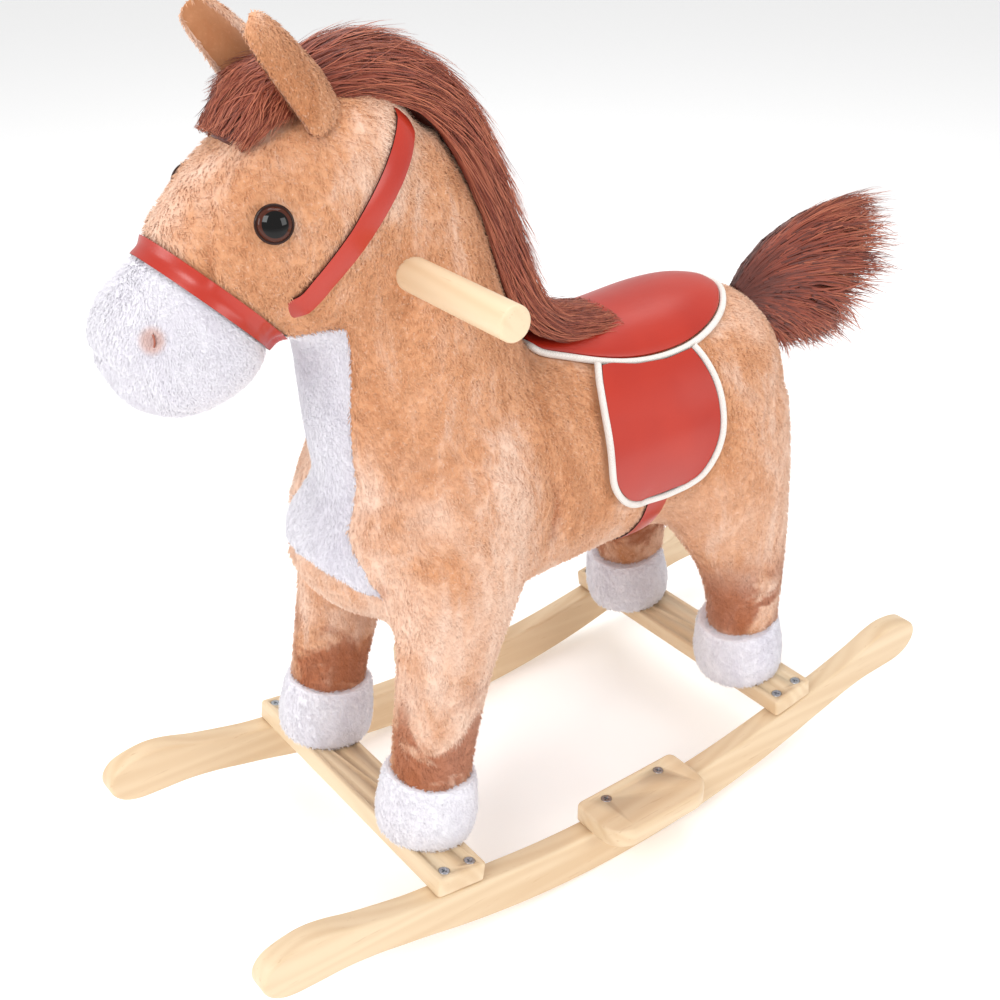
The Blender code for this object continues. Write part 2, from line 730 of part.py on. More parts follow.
def eye(side, side_name):
    """A domed safety eye with a flat rim, set into the head."""
    out = Vector((side * 0.907, -0.33, 0.25)).normalized()
    seat = skin(Vector((0, -0.2248, 0.539)), out)
    place = facing(seat, out)
    profile = [(0, -0.0030), (0.0110, -0.0030), (0.0112, -0.0010), (0.0104, 0.0006), (0.0090, 0.0008)]
    profile += [(0.0082, 0.0030), (0.0060, 0.0050), (0.0032, 0.0061), (0, 0.0065)]
    add(f"eye_{side_name}", turned(profile, 20, place), "eye_plastic", smooth=True)
    socket = [(0, -0.0034), (0.0116, -0.0034), (0.0116, 0.020), (0, 0.020)]
    return add(f"eye_{side_name}_socket", turned(socket, 20, place))


def hair(name, stations, away, rings, sides):
    """A pad of long pile along a path, shaped to lie on what is under it."""
    bm = bmesh.new()
    loft(bm, stations, rings, sides)
    rough = add(name + "_rough", to_mesh(bm))
    for cutter in away:
        cut(rough, cutter)
    return add(name, largest_part(evaluated(rough)), "chestnut_pile", smooth=True)


def tail_piece(form_space):
    """The tail turns about a round root in a matching hollow in the rump."""
    bm = bmesh.new()
    loft(bm, TAIL, 12, 12)
    piece = add_moving("tail", to_mesh(bm), "chestnut_pile", pivot("tail_root", TAIL_ROOT))
    for cutter in swept(form_space, TAIL_ROOT, "Z", TAIL_SWING):
        cut(piece, cutter, "DIFFERENCE", "MANIFOLD")
    cut(piece, add("tail_ball", ball(0.0115, TAIL_ROOT)), "UNION")


def largest_part(mesh):
    """Leaves only the biggest connected body of a mesh."""
    bm = bmesh.new()
    bm.from_mesh(mesh)
    left = set(bm.verts)
    best = set()
    while left:
        group = set()
        front = [left.pop()]
        while front:
            vert = front.pop()
            group.add(vert)
            near = {edge.other_vert(vert) for edge in vert.link_edges} & left
            left -= near
            front += near
        if len(group) > len(best):
            best = group
    bmesh.ops.delete(bm, geom=[v for v in bm.verts if v not in best], context="VERTS")
    return to_mesh(bm)


def skin(centre, direction):
    """Where a ray from inside the plush form comes out of it."""
    direction = direction.normalized()
    return TREE.ray_cast(centre, direction)[0]


# ---------------------------------------------------------------- saddle and bridle
def band_point(centre, axis, angle, shift, lift):
    """A point on a strap round the form: angle from +X toward the up side of its plane."""
    up = axis.cross(Vector((1, 0, 0))).normalized()
    up = up if up.z > 0 else -up
    q = math.radians(angle)
    out = Vector((1, 0, 0)) * math.cos(q) + up * math.sin(q)
    start = centre + axis * shift
    return skin(start, out) + out * lift


def band(centre, axis, angles, width, lift, closed=False):
    """A strap wrapped round the form; lift(angle) is its height above the plush."""
    low = []
    high = []
    for angle in angles:
        shifts = (-width / 2, width / 2)
        low.append([band_point(centre, axis, angle, s, lift(angle)) for s in shifts])
        high.append([band_point(centre, axis, angle, s, lift(angle) + STRAP_THICK) for s in shifts])
    return shell(low, high, closed)


def cheek_lift(angle):
    """The headstall lies on the plush and rises over the noseband at its two ends."""
    near = min(abs(angle - STRAP_END), abs(angle - (180 - STRAP_END)))
    return STRAP_LIFT + 0.0036 * min(1.0, max(0.0, 1.5 - near / 20))


def bridle():
    angles = steps(0, 360, 44)[:-1]
    loop = band(NOSE_CENTRE, NOSE_AXIS, angles, STRAP_WIDTH, lambda a: STRAP_LIFT, True)
    nose = add("noseband", loop, "brick_leather")
    angles = steps(STRAP_END, 180 - STRAP_END, 44)
    strap = band(CHEEK_CENTRE, CHEEK_AXIS, angles, STRAP_WIDTH, cheek_lift)
    cheek = add("headstall", strap, "brick_leather")
    cut(nose, copy_cutter(cheek, 0.0006))
    return nose, cheek


def barrel_point(y, angle, lift, side=1):
    """A point on the body: the angle is measured from straight up, toward the side."""
    q = math.radians(angle)
    out = Vector((side * math.sin(q), 0, math.cos(q)))
    return skin(Vector((0, y, BARREL_AXIS_Z)), out) + out * lift


def outward(path, distance):
    """A line of (along, across) points moved sideways, to its left."""
    moved = []
    for k, (a, b) in enumerate(path):
        a0, b0 = path[max(k - 1, 0)]
        a1, b1 = path[min(k + 1, len(path) - 1)]
        size = math.hypot(a1 - a0, b1 - b0)
        moved.append((a - (b1 - b0) / size * distance, b + (a1 - a0) / size * distance))
    return moved


def seat():
    rows = 13
    cols = 8
    low = []
    high = []
    for i in range(rows):
        y, w = catmull(SEAT, i / (rows - 1))
        low_row = []
        high_row = []
        for j in range(cols + 1):
            across = 2 * j / cols - 1
            edge = min(1.0, 3 * (1 - abs(across)))
            fore = min(1.0, min(i, rows - 1 - i) / 3)
            pad = 0.0026 + 0.0072 * math.sqrt(edge * fore)
            low_row.append(barrel_point(y, across * w, 0.0020))
            high_row.append(barrel_point(y, across * w, 0.0020 + pad))
        low.append(low_row)
        high.append(high_row)
    pad = add("saddle_seat", shell(low, high), "brick_leather", smooth=True)
    half = [catmull(SEAT, t) for t in steps(0, 1, 15)]
    rim = [(y, math.radians(w) * BODY_RADIUS) for y, w in half]
    rim += [(SEAT[-1][0], 0)] + [(y, -s) for y, s in reversed(rim)]
    rim = outward(rim, PIPING_RADIUS + 0.0007)
    path = [barrel_point(y, math.degrees(s / BODY_RADIUS), 0.0034) for y, s in rim]
    piping = add("saddle_seat_piping", tube(path, PIPING_RADIUS), "white_piping", smooth=True)
    return pad, piping


def flap(side, side_name):
    """A leather flap hanging below the seat, edged with piping; it lifts outward about its top edge."""
    rows = 8
    cols = 6
    low = []
    high = []
    for i in range(rows + 1):
        angle, front, rear = catmull(FLAP, i / rows)
        ys = steps(front, rear, cols)
        low.append([barrel_point(y, angle, 0.0044, side) for y in ys])
        high.append([barrel_point(y, angle, 0.0062, side) for y in ys])
    joint = pivot(f"flap_hinge_{side_name}", barrel_point(0.048, FLAP[0][0], 0.0053, side))
    add_moving(f"saddle_flap_{side_name}", shell(low, high), "brick_leather", joint)
    edge = [catmull(FLAP, t) for t in steps(0, 1, 10)]
    outline = [(front, math.radians(a) * BODY_RADIUS) for a, front, rear in edge]
    bottom = math.radians(FLAP[-1][0]) * BODY_RADIUS
    outline += [(y, bottom) for y in steps(FLAP[-1][1], FLAP[-1][2], 4)[1:-1]]
    outline += [(rear, math.radians(a) * BODY_RADIUS) for a, front, rear in reversed(edge)]
    outline = outward(outline, PIPING_RADIUS + 0.0009)
    path = [barrel_point(y, math.degrees(s / BODY_RADIUS), 0.0062, side) for y, s in outline]
    add_moving(f"saddle_flap_piping_{side_name}", tube(path, PIPING_RADIUS), "white_piping", joint)


def girth():
    centre = Vector((0, 0.048, BARREL_AXIS_Z))
    angles = steps(12, -192, 34)
    return add("girth", band(centre, Vector((0, 1, 0)), angles, 0.020, lambda a: 0.0014), "brick_leather")


def rivet(side, side_name, straps):
    """A capped rivet through the end of the headstall and the noseband under it."""
    angle = STRAP_END + 5 if side > 0 else 180 - STRAP_END - 5

    def spot(turn, shift):
        return band_point(CHEEK_CENTRE, CHEEK_AXIS, angle + turn, shift, cheek_lift(angle) + STRAP_THICK)

    out = (spot(4, 0) - spot(-4, 0)).cross(spot(0, 0.006) - spot(0, -0.006)).normalized()
    out = out if out.x * side > 0 else -out
    place = facing(spot(0, 0), out)
    profile = [(0, -0.0052), (0.0016, -0.0052), (0.0016, 0.0009), (0.0044, 0.0009), (0.0044, 0.0017)]
    profile += [(0.0034, 0.0026), (0, 0.0031)]
    add(f"rivet_{side_name}", turned(profile, 14, place), "rivet_enamel")
    bore = turned([(0, -0.012), (0.0021, -0.012), (0.0021, 0.012), (0, 0.012)], 14, place)
    hole = add(f"rivet_{side_name}_hole", bore)
    for strap in straps:
        cut(strap, hole)
    return hole


# ---------------------------------------------------------------- build
def assemble():
    """Builds every piece, the plush last so that it can be parted round what is inside it."""
    base_pieces()
    board = body_board()
    neck = neck_board()
    board_space = copy_cutter(board, 0.0010)
    ends = ((-0.1465, -0.0765, 0.299), (-0.1785, -0.1195, 0.542))
    x = 0.009
    space = [[Vector(p) for p in ((-x, y0, z), (x, y0, z), (x, y1, z), (-x, y1, z))] for y0, y1, z in ends]
    neck_space = add("neck_board_space", block(*space))
    y0, y1, x = TENON[0] - 2 * GAP, TENON[1] + 2 * GAP, 0.008 + 2 * GAP
    slot = [[Vector(p) for p in ((-x, y0, z), (x, y0, z), (x, y1, z), (-x, y1, z))] for z in (0.27, 0.32)]
    cut(board, add("tenon_slot", block(*slot)))
    handle_space = add("handle_space", rod(HANDLE_RADIUS + 0.0006, 0.3, (0, HANDLE_Y, HANDLE_Z)))
    cut(neck, handle_space, use_self=True)
    dowel = rod(HANDLE_RADIUS, HANDLE_LENGTH / 2, (0, HANDLE_Y, HANDLE_Z), 24, 0.002)
    add("handle_dowel", dowel, "beech")
    sides = ((1, "left"), (-1, "right"))
    hollows = [eye(*side) for side in sides] + [ear(*side) for side in sides]
    tail_hollow = add("tail_hollow", ball(0.0122, TAIL_ROOT))
    frame = [board_space, neck_space] + POST_SPACES
    above = half_space("above_neck_seam", *NECK_SEAM, GAP / 2)
    below = half_space("below_neck_seam", NECK_SEAM[0], -NECK_SEAM[1], GAP / 2)
    over_legs = half_space("over_leg_seams", Vector((0, 0, LEG_SEAM_Z)), Vector((0, 0, 1)), GAP / 2)
    nose_cut = muzzle_box("muzzle_cut", GAP)
    bib_cut = bib_block("bib_cut", GAP)
    plush("torso", "caramel_plush", [below, over_legs], [bib_cut, tail_hollow] + frame)
    plush("head", "caramel_plush", [above], [nose_cut, bib_cut, neck_space, handle_space] + hollows)
    plush("muzzle", "white_plush", [muzzle_box("muzzle_keep", 0.0)], [])
    plush("chest_bib", "white_plush", [bib_block("bib_keep", 0.0)], [nose_cut])
    for end, end_name in ((-1, "front"), (1, "rear")):
        for side, side_name in sides:
            keep = leg_block(end, side, GAP / 2)
            plush(f"leg_{end_name}_{side_name}", "caramel_plush", [keep], POST_SPACES)
            hoof(end, end_name, side, side_name)
    form_space = add("form_space", FORM.data.copy())
    swell = form_space.modifiers.new("grow", "DISPLACE")
    swell.strength = 0.0006
    swell.mid_level = 0
    straps = bridle()
    covers = [copy_cutter(piece, 0.0011) for piece in (straps[1], *seat())]
    for side in sides:
        cut(bpy.data.objects["head"], rivet(*side, straps), "DIFFERENCE", "MANIFOLD")
    girth()
    for side, side_name in sides:
        flap(side, side_name)
        trim_to_head(bpy.data.objects[f"ear_{side_name}"], form_space)
    hair("mane", MANE, [form_space] + covers, 16, 12)
    hair("forelock", FORELOCK, [form_space], 8, 10)
    tail_piece(form_space)


clear_scene()
PIECES = collection("rocking_horse")
CUTTERS = collection("cutters", hidden=True)
ROOT = bpy.data.objects.new("rocking_horse_origin", None)
PIECES.objects.link(ROOT)
ROOT.location.y = -ROCKER_AHEAD_OF_ORIGIN
POST_SPACES = []
FORM = plush_form("form")
TREE = BVHTree.FromObject(FORM, bpy.context.evaluated_depsgraph_get())
assemble()
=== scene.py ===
"""Rocking horse: the finished looks of a plush horse with a saddle and bridle on a wooden base.

Lengths are in metres. X is across the horse (+X is its left), the horse faces -Y and +Z is up.
Body shapes are laid out from the middle of the rockers, which BASE_Y moves to their place in the model.
"""

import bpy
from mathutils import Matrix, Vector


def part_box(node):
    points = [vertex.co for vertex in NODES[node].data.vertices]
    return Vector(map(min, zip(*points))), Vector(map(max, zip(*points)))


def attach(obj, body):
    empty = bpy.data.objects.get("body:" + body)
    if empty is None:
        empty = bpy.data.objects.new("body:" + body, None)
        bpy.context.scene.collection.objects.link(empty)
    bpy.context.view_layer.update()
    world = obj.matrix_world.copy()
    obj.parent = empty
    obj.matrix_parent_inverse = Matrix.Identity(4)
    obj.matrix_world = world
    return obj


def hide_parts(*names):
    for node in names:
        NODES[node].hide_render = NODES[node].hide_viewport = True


bl_info = {
    "name": "Rocking horse finish",
    "version": (1, 0, 0),
    "blender": (4, 5, 0),
    "location": "View3D > Sidebar > Horse",
    "description": "Plush, hair, leather and beech for the rocking horse",
    "category": "Object",
}

import math

import bmesh
import bpy
import numpy as np
from bpy.props import FloatProperty, FloatVectorProperty, IntProperty, PointerProperty
from bpy.types import Operator, Panel, PropertyGroup
from mathutils import Matrix, Vector
from mathutils.bvhtree import BVHTree

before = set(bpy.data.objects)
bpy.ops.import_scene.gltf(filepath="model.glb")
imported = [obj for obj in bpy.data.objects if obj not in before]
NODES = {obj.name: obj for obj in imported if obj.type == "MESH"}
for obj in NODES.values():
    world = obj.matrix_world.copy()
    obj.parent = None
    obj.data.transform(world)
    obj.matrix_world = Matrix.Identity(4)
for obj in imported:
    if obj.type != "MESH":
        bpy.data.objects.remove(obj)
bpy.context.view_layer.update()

# ---------------------------------------------------------------- places taken from the model
ROCKER_LOW, ROCKER_HIGH = (Vector(corner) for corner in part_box("rocker_left"))
BASE_Y = (ROCKER_LOW.y + ROCKER_HIGH.y) / 2
SHIFT = Vector((0, BASE_Y, 0))
ROCKER_THICK = ROCKER_HIGH.x - ROCKER_LOW.x
REST_LOW, REST_HIGH = (Vector(corner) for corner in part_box("footrest_left"))
HANDLE_LOW, HANDLE_HIGH = (Vector(corner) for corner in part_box("handle_dowel"))
HANDLE_RADIUS = (HANDLE_HIGH.z - HANDLE_LOW.z) / 2

ROCKER_SOLE_RADIUS = 0.720
BAR_WIDTH = 0.042
BAR_THICK = 0.016
BAR_Y = 0.178
BAR_Z = 0.060
BAR_TILT = math.radians(8.4)
POST_X = 0.073
HOOF_RADIUS = 0.037
HOOF_HEIGHT = 0.0515

# Stuffed shapes: stations (x, y, z, half width, half depth), one list for each limb.
BARREL = [
    (0, -0.190, 0.352, 0.030, 0.050),
    (0, -0.170, 0.340, 0.078, 0.096),
    (0, -0.112, 0.324, 0.096, 0.112),
    (0, -0.030, 0.318, 0.092, 0.100),
    (0, 0.060, 0.319, 0.090, 0.099),
    (0, 0.130, 0.320, 0.094, 0.101),
    (0, 0.180, 0.316, 0.086, 0.093),
    (0, 0.214, 0.308, 0.050, 0.056),
]
NECK = [
    (0, -0.092, 0.300, 0.070, 0.090),
    (0, -0.112, 0.380, 0.075, 0.092),
    (0, -0.128, 0.450, 0.069, 0.082),
    (0, -0.142, 0.520, 0.062, 0.074),
    (0, -0.155, 0.575, 0.050, 0.055),
]
HEAD = [
    (0, -0.118, 0.560, 0.035, 0.040),
    (0, -0.145, 0.558, 0.058, 0.066),
    (0, -0.190, 0.549, 0.066, 0.073),
    (0, -0.230, 0.533, 0.064, 0.062),
    (0, -0.262, 0.514, 0.057, 0.052),
    (0, -0.287, 0.496, 0.048, 0.043),
]
MUZZLE = [
    (0, -0.246, 0.492, 0.044, 0.036),
    (0, -0.260, 0.488, 0.058, 0.047),
    (0, -0.287, 0.480, 0.063, 0.052),
    (0, -0.316, 0.473, 0.055, 0.046),
    (0, -0.338, 0.468, 0.031, 0.026),
]
JAW = [
    (0, -0.160, 0.515, 0.046, 0.040),
    (0, -0.195, 0.502, 0.055, 0.043),
    (0, -0.228, 0.492, 0.050, 0.038),
    (0, -0.248, 0.488, 0.038, 0.030),
]
FRONT_LEG = [
    (0.062, -0.105, 0.360, 0.038, 0.055),
    (0.067, -0.125, 0.290, 0.041, 0.058),
    (0.070, -0.145, 0.210, 0.036, 0.043),
    (0.073, -0.160, 0.140, 0.035, 0.036),
    (0.074, -0.168, 0.085, 0.034, 0.035),
]
REAR_LEG = [
    (0.056, 0.138, 0.330, 0.044, 0.070),
    (0.063, 0.143, 0.265, 0.045, 0.068),
    (0.069, 0.159, 0.205, 0.039, 0.051),
    (0.072, 0.167, 0.150, 0.035, 0.039),
    (0.074, 0.168, 0.085, 0.034, 0.035),
]
# Bib edge: height, half width.
BIB = [
    (0.480, 0.0375),
    (0.442, 0.0345),
    (0.420, 0.0320),
    (0.380, 0.0290),
    (0.345, 0.0275),
    (0.325, 0.0340),
    (0.310, 0.0440),
    (0.297, 0.0495),
    (0.260, 0.0505),
]
# Lower edge of the bib: distance from the middle, height.
BIB_FOOT = [(0.000, 0.297), (0.014, 0.297), (0.035, 0.288), (0.051, 0.272)]
BIB_TOP = 0.472
BIB_BACK = -0.165
MANE = [
    (0, -0.214, 0.606, 0.018, 0.012),
    (0, -0.190, 0.614, 0.026, 0.019),
    (0, -0.158, 0.615, 0.030, 0.024),
    (0, -0.125, 0.604, 0.032, 0.026),
    (0, -0.098, 0.578, 0.035, 0.027),
    (0, -0.076, 0.535, 0.035, 0.027),
    (0, -0.060, 0.490, 0.035, 0.027),
    (0, -0.040, 0.443, 0.036, 0.024),
    (0, -0.010, 0.421, 0.035, 0.015),
    (0, 0.020, 0.416, 0.031, 0.009),
    (0, 0.050, 0.413, 0.023, 0.005),
]
FORELOCK = [
    (0, -0.178, 0.610, 0.018, 0.012),
    (0, -0.198, 0.617, 0.028, 0.017),
    (0, -0.217, 0.613, 0.031, 0.017),
    (0, -0.233, 0.603, 0.028, 0.013),
    (0, -0.246, 0.590, 0.020, 0.008),
]
EAR = [
    (0.034, -0.196, 0.604, 0.0085, 0.0190),
    (0.034, -0.204, 0.618, 0.0095, 0.0185),
    (0.035, -0.216, 0.634, 0.0090, 0.0165),
    (0.036, -0.229, 0.650, 0.0075, 0.0140),
    (0.036, -0.240, 0.662, 0.0045, 0.0095),
]
EAR_TURN = math.radians(42)
GIRTH_WIDTH = 0.020
GIRTH_LIFT = 0.0014
NOSE_CENTRE = Vector((0, -0.268, 0.500))
NOSE_AXIS = Vector((0, -0.71, -0.704)).normalized()
CHEEK_CENTRE = Vector((0, -0.190, 0.546))
CHEEK_AXIS = Vector((0, -0.740, 0.673)).normalized()
EYE_OUT = Vector((0.907, -0.33, 0.25)).normalized()
STRAP_WIDTH = 0.016
NOSEBAND_WIDTH = 0.0125
STRAP_THICK = 0.0018
STRAP_LIFT = 0.0020
STRAP_END = -68
BAND_REACH = 0.074

# Seat edge: place along the horse, half angle it covers from the top of the back.
SEAT = [
    (-0.032, 13.5),
    (-0.026, 16.5),
    (-0.012, 20.5),
    (0.014, 28.5),
    (0.040, 33.8),
    (0.068, 36.0),
    (0.096, 35.2),
    (0.122, 30.5),
    (0.142, 23.5),
    (0.157, 14.5),
    (0.165, 6.5),
]
# Flap: angle below the top of the back, its front edge and its rear edge.
FLAP = [
    (39.5, 0.0110, 0.0920),
    (46.0, 0.0040, 0.0955),
    (56.0, -0.0020, 0.0990),
    (67.0, -0.0048, 0.1000),
    (79.0, -0.0060, 0.0980),
    (87.0, -0.0045, 0.0940),
    (94.5, 0.0025, 0.0880),
    (100.5, 0.0130, 0.0800),
    (103.5, 0.0250, 0.0690),
]
BARREL_AXIS_Z = 0.318
BODY_RADIUS = 0.096
PIPING_RADIUS = 0.0026

# Seams and folds drawn into the coat, with shade painted along them: points on the left side, half width,
# depth.
FOLDS = [
    ([(0.030, -0.209, 0.608), (0.030, -0.228, 0.599), (0.020, -0.249, 0.589), (0.0185, -0.267, 0.575),
      (0.0345, -0.278, 0.552), (0.044, -0.283, 0.526)], 0.0036, 0.0036),
    ([(0.085, -0.110, 0.440), (0.090, -0.082, 0.404), (0.092, -0.062, 0.366), (0.092, -0.054, 0.325),
      (0.088, -0.056, 0.288)], 0.0085, 0.0062),
    ([(0.090, -0.040, 0.400), (0.096, -0.026, 0.345), (0.090, -0.022, 0.300)], 0.0065, 0.0050),
    ([(0.085, -0.070, 0.420), (0.093, -0.040, 0.372), (0.094, -0.036, 0.330)], 0.0055, 0.0034),
    ([(0.092, 0.030, 0.296), (0.085, 0.056, 0.262), (0.076, 0.084, 0.226)], 0.0075, 0.0056),
    ([(0.090, 0.010, 0.286), (0.080, 0.034, 0.256), (0.062, 0.060, 0.236)], 0.0060, 0.0040),
    ([(0.052, -0.180, 0.300), (0.060, -0.196, 0.250), (0.052, -0.200, 0.205)], 0.0080, 0.0020),
    ([(0.000, -0.150, 0.246), (0.012, -0.120, 0.236), (0.030, -0.090, 0.232)], 0.0080, 0.0030),
]
NOSTRIL = Vector((0.037, -0.318, 0.4956))

# Materials, shader groups and the skin, each made once and kept here for the pieces that share them.
MADE = {}


# ---------------------------------------------------------------- mesh helpers
def shade(red, green, blue):
    """A colour picked on a screen, as the linear values that shaders use."""
    return tuple((c / 255 / 12.92) if c <= 10 else ((c / 255 + 0.055) / 1.055) ** 2.4
                 for c in (red, green, blue))


def add(name, mesh, *materials, smooth=True):
    mesh.name = name
    obj = bpy.data.objects.new(name, mesh)
    bpy.context.scene.collection.objects.link(obj)
    for material in materials:
        mesh.materials.append(material)
    if smooth:
        mesh.shade_smooth()
    return obj


def drop(obj):
    bpy.data.objects.remove(obj, do_unlink=True)


def to_mesh(bm):
    bmesh.ops.recalc_face_normals(bm, faces=bm.faces)
    mesh = bpy.data.meshes.new("shape")
    bm.to_mesh(mesh)
    bm.free()
    return mesh


def evaluated(obj):
    bpy.context.view_layer.update()
    mesh = bpy.data.meshes.new_from_object(obj.evaluated_get(bpy.context.evaluated_depsgraph_get()))
    mesh.materials.clear()
    return mesh


def points_of(mesh):
    flat = np.empty(len(mesh.vertices) * 3)
    mesh.vertices.foreach_get("co", flat)
    return flat.reshape(-1, 3)


def normals_of(mesh):
    flat = np.empty(len(mesh.vertices) * 3)
    mesh.vertex_normals.foreach_get("vector", flat)
    return flat.reshape(-1, 3)


def move_points(mesh, points):
    mesh.vertices.foreach_set("co", points.ravel())
    mesh.update()


def tree_of(mesh):
    return BVHTree.FromPolygons([v.co for v in mesh.vertices], [tuple(p.vertices) for p in mesh.polygons])


def steps(start, end, count):
    return [start + (end - start) * k / count for k in range(count + 1)]


def arc(cx, cy, radius, start, end, pieces):
    angles = [math.radians(angle) for angle in steps(start, end, pieces)]
    return [(cx + radius * math.cos(a), cy + radius * math.sin(a)) for a in angles]


def catmull(values, t):
    """A smooth curve through the values, read at t from 0 to 1."""
    last = len(values) - 1
    at = min(max(t, 0.0) * last, last - 1e-9)
    i = int(at)
    f = at - i
    p1, p2 = values[i], values[i + 1]
    p0 = values[max(i - 1, 0)]
    p3 = values[min(i + 2, last)]
    return tuple(
        0.5 * (2 * b + (c - a) * f + (2 * a - 5 * b + 4 * c - d) * f * f + (3 * b - a - 3 * c + d) * f ** 3)
        for a, b, c, d in zip(p0, p1, p2, p3)
    )


def stack(bm, loops, cap=True):
    """Joins rings of points into one body; cap closes its two ends."""
    rows = [[bm.verts.new(p) for p in loop] for loop in loops]
    count = len(rows[0])
    for low, high in zip(rows, rows[1:]):
        for i in range(count):
            j = (i + 1) % count
            bm.faces.new((low[i], low[j], high[j], high[i]))
    if cap:
        bm.faces.new(list(reversed(rows[0])))
        bm.faces.new(rows[-1])
    return rows


def station_frame(stations, t, across=Vector((1, 0, 0)), reach=0.01):
    """The centre, directions and half sizes of a limb at t."""
    x, y, z, a, b = catmull(stations, t)
    before = Vector(catmull(stations, max(t - reach, 0))[:3])
    after = Vector(catmull(stations, min(t + reach, 1))[:3])
    along = (after - before).normalized()
    up = across.cross(along).normalized()
    side = along.cross(up).normalized()
    return Vector((x, y, z)), along, side, up, a, b


def loft(bm, stations, rings=24, sides=24, mirror=1):
    """Adds a limb of elliptical sections along a smooth path."""
    if mirror < 0:
        stations = [(-x, y, z, a, b) for x, y, z, a, b in stations]
    loops = []
    for t in steps(0, 1, rings):
        centre, _, side, up, a, b = station_frame(stations, t)
        turns = [2 * math.pi * i / sides for i in range(sides)]
        loops.append([centre + side * a * math.cos(q) + up * b * math.sin(q) for q in turns])
    stack(bm, loops)


def turned(profile, sides, place=None):
    """A solid of revolution about Z from (radius, height) points."""
    bm = bmesh.new()
    verts = [bm.verts.new((r, 0, z)) for r, z in profile]
    edges = [bm.edges.new(pair) for pair in zip(verts, verts[1:])]
    bmesh.ops.spin(bm, geom=verts + edges, axis=(0, 0, 1), cent=(0, 0, 0), angle=2 * math.pi,
                   steps=sides, use_merge=True, use_duplicate=False)
    bmesh.ops.remove_doubles(bm, verts=bm.verts, dist=1e-6)
    if place:
        bmesh.ops.transform(bm, matrix=place, verts=bm.verts)
    return to_mesh(bm)


def facing(origin, axis):
    """A placement whose Z runs along the axis."""
    return Matrix.Translation(origin) @ Vector(axis).to_track_quat("Z", "Y").to_matrix().to_4x4()


def tube(path, radius, sides=12, closed=False):
    """A round cord along a path of points."""
    bm = bmesh.new()
    loops = []
    count = len(path)
    up = None
    for k, point in enumerate(path):
        ahead = path[(k + 1) % count] if closed else path[min(k + 1, count - 1)]
        behind = path[k - 1] if closed or k else path[0]
        along = (ahead - behind).normalized()
        up = along.orthogonal().normalized() if up is None else (up - along * up.dot(along)).normalized()
        side = along.cross(up)
        turns = [2 * math.pi * i / sides for i in range(sides)]
        loops.append([point + (up * math.cos(q) + side * math.sin(q)) * radius for q in turns])
    stack(bm, loops)
    return to_mesh(bm)


def sharpen(mesh, degrees):
    """Keeps the edges that turn more than this crisp under smooth shading."""
    bm = bmesh.new()
    bm.from_mesh(mesh)
    for edge in bm.edges:
        edge.smooth = len(edge.link_faces) == 2 and edge.calc_face_angle() < math.radians(degrees)
    bm.to_mesh(mesh)
    bm.free()


def smooth_outline(points, pieces=5):
    """A closed outline through the points, with a soft curve between them."""
    count = len(points)
    made = []
    for i in range(count):
        near = [points[(i + k) % count] for k in (-1, 0, 1, 2)]
        made += [catmull(near, (1 + f) / 3) for f in steps(0, 1, pieces)[:-1]]
    return made


def board(name, outline, thickness, place, rounding, material, holes=()):
    """A board cut to an outline in its own XY plane, eased, with a countersink at each hole (x, y)."""
    curve = bpy.data.curves.new(name, "CURVE")
    curve.dimensions = "2D"
    curve.fill_mode = "BOTH"
    curve.extrude = thickness / 2 - rounding
    curve.bevel_depth = rounding
    curve.bevel_resolution = 3
    curve.offset = -rounding
    spline = curve.splines.new("POLY")
    spline.points.add(len(outline) - 1)
    for point, (x, y) in zip(spline.points, outline):
        point.co = (x, y, 0, 1)
    spline.use_cyclic_u = True
    rough = bpy.data.objects.new(name, curve)
    bpy.context.scene.collection.objects.link(rough)
    mesh = evaluated(rough)
    drop(rough)
    bm = bmesh.new()
    bm.from_mesh(mesh)
    bmesh.ops.remove_doubles(bm, verts=bm.verts, dist=1e-6)
    bmesh.ops.recalc_face_normals(bm, faces=bm.faces)
    for edge in bm.edges:
        flat = [abs(face.normal.z) > 0.9999 for face in edge.link_faces]
        edge.smooth = len(flat) == 2 and flat[0] == flat[1] and edge.calc_face_angle() < 0.7
    for face in bm.faces:
        face.smooth = True
    bm.to_mesh(mesh)
    bm.free()
    made = add(name, mesh, smooth=False)
    sinks = [(0, -0.0080), (0.0022, -0.0080), (0.0022, -0.0034), (0.0047, -0.0007), (0.0047, 0.0020),
             (0, 0.0020)]
    for x, y in holes:
        sink = add("sink", turned(sinks, 32, Matrix.Translation((x, y, thickness / 2))))
        drill = made.modifiers.new("countersink", "BOOLEAN")
        drill.operation = "DIFFERENCE"
        drill.solver = "EXACT"
        drill.object = sink
    drilled = evaluated(made) if holes else made.data.copy()
    for obj in [made] + [drill.object for drill in made.modifiers]:
        drop(obj)
    drilled.transform(place)
    return add(name, drilled, material, smooth=False)


# ---------------------------------------------------------------- shader helpers
def put(tree, kind, sockets=None, **settings):
    """Adds a node; sockets maps an input to a value or to another node's output."""
    made = tree.nodes.new("ShaderNode" + kind)
    for key, value in settings.items():
        setattr(made, key, value)
    for key, value in (sockets or {}).items():
        if isinstance(value, bpy.types.NodeSocket):
            tree.links.new(value, made.inputs[key])
        else:
            made.inputs[key].default_value = value
    return made


def blend(tree, factor, first, second, kind="MIX"):
    return put(tree, "Mix", {0: factor, 6: first, 7: second}, data_type="RGBA", blend_type=kind).outputs[2]


def sums(tree, operation, first, second=0.0, clamp=False):
    return put(tree, "Math", {0: first, 1: second}, operation=operation, use_clamp=clamp).outputs[0]


def soft_step(tree, value, low, high):
    """Goes smoothly from 0 to 1 as the value goes from low to high."""
    sockets = {"Value": value, "From Min": low, "From Max": high}
    return put(tree, "MapRange", sockets, interpolation_type="SMOOTHSTEP").outputs[0]


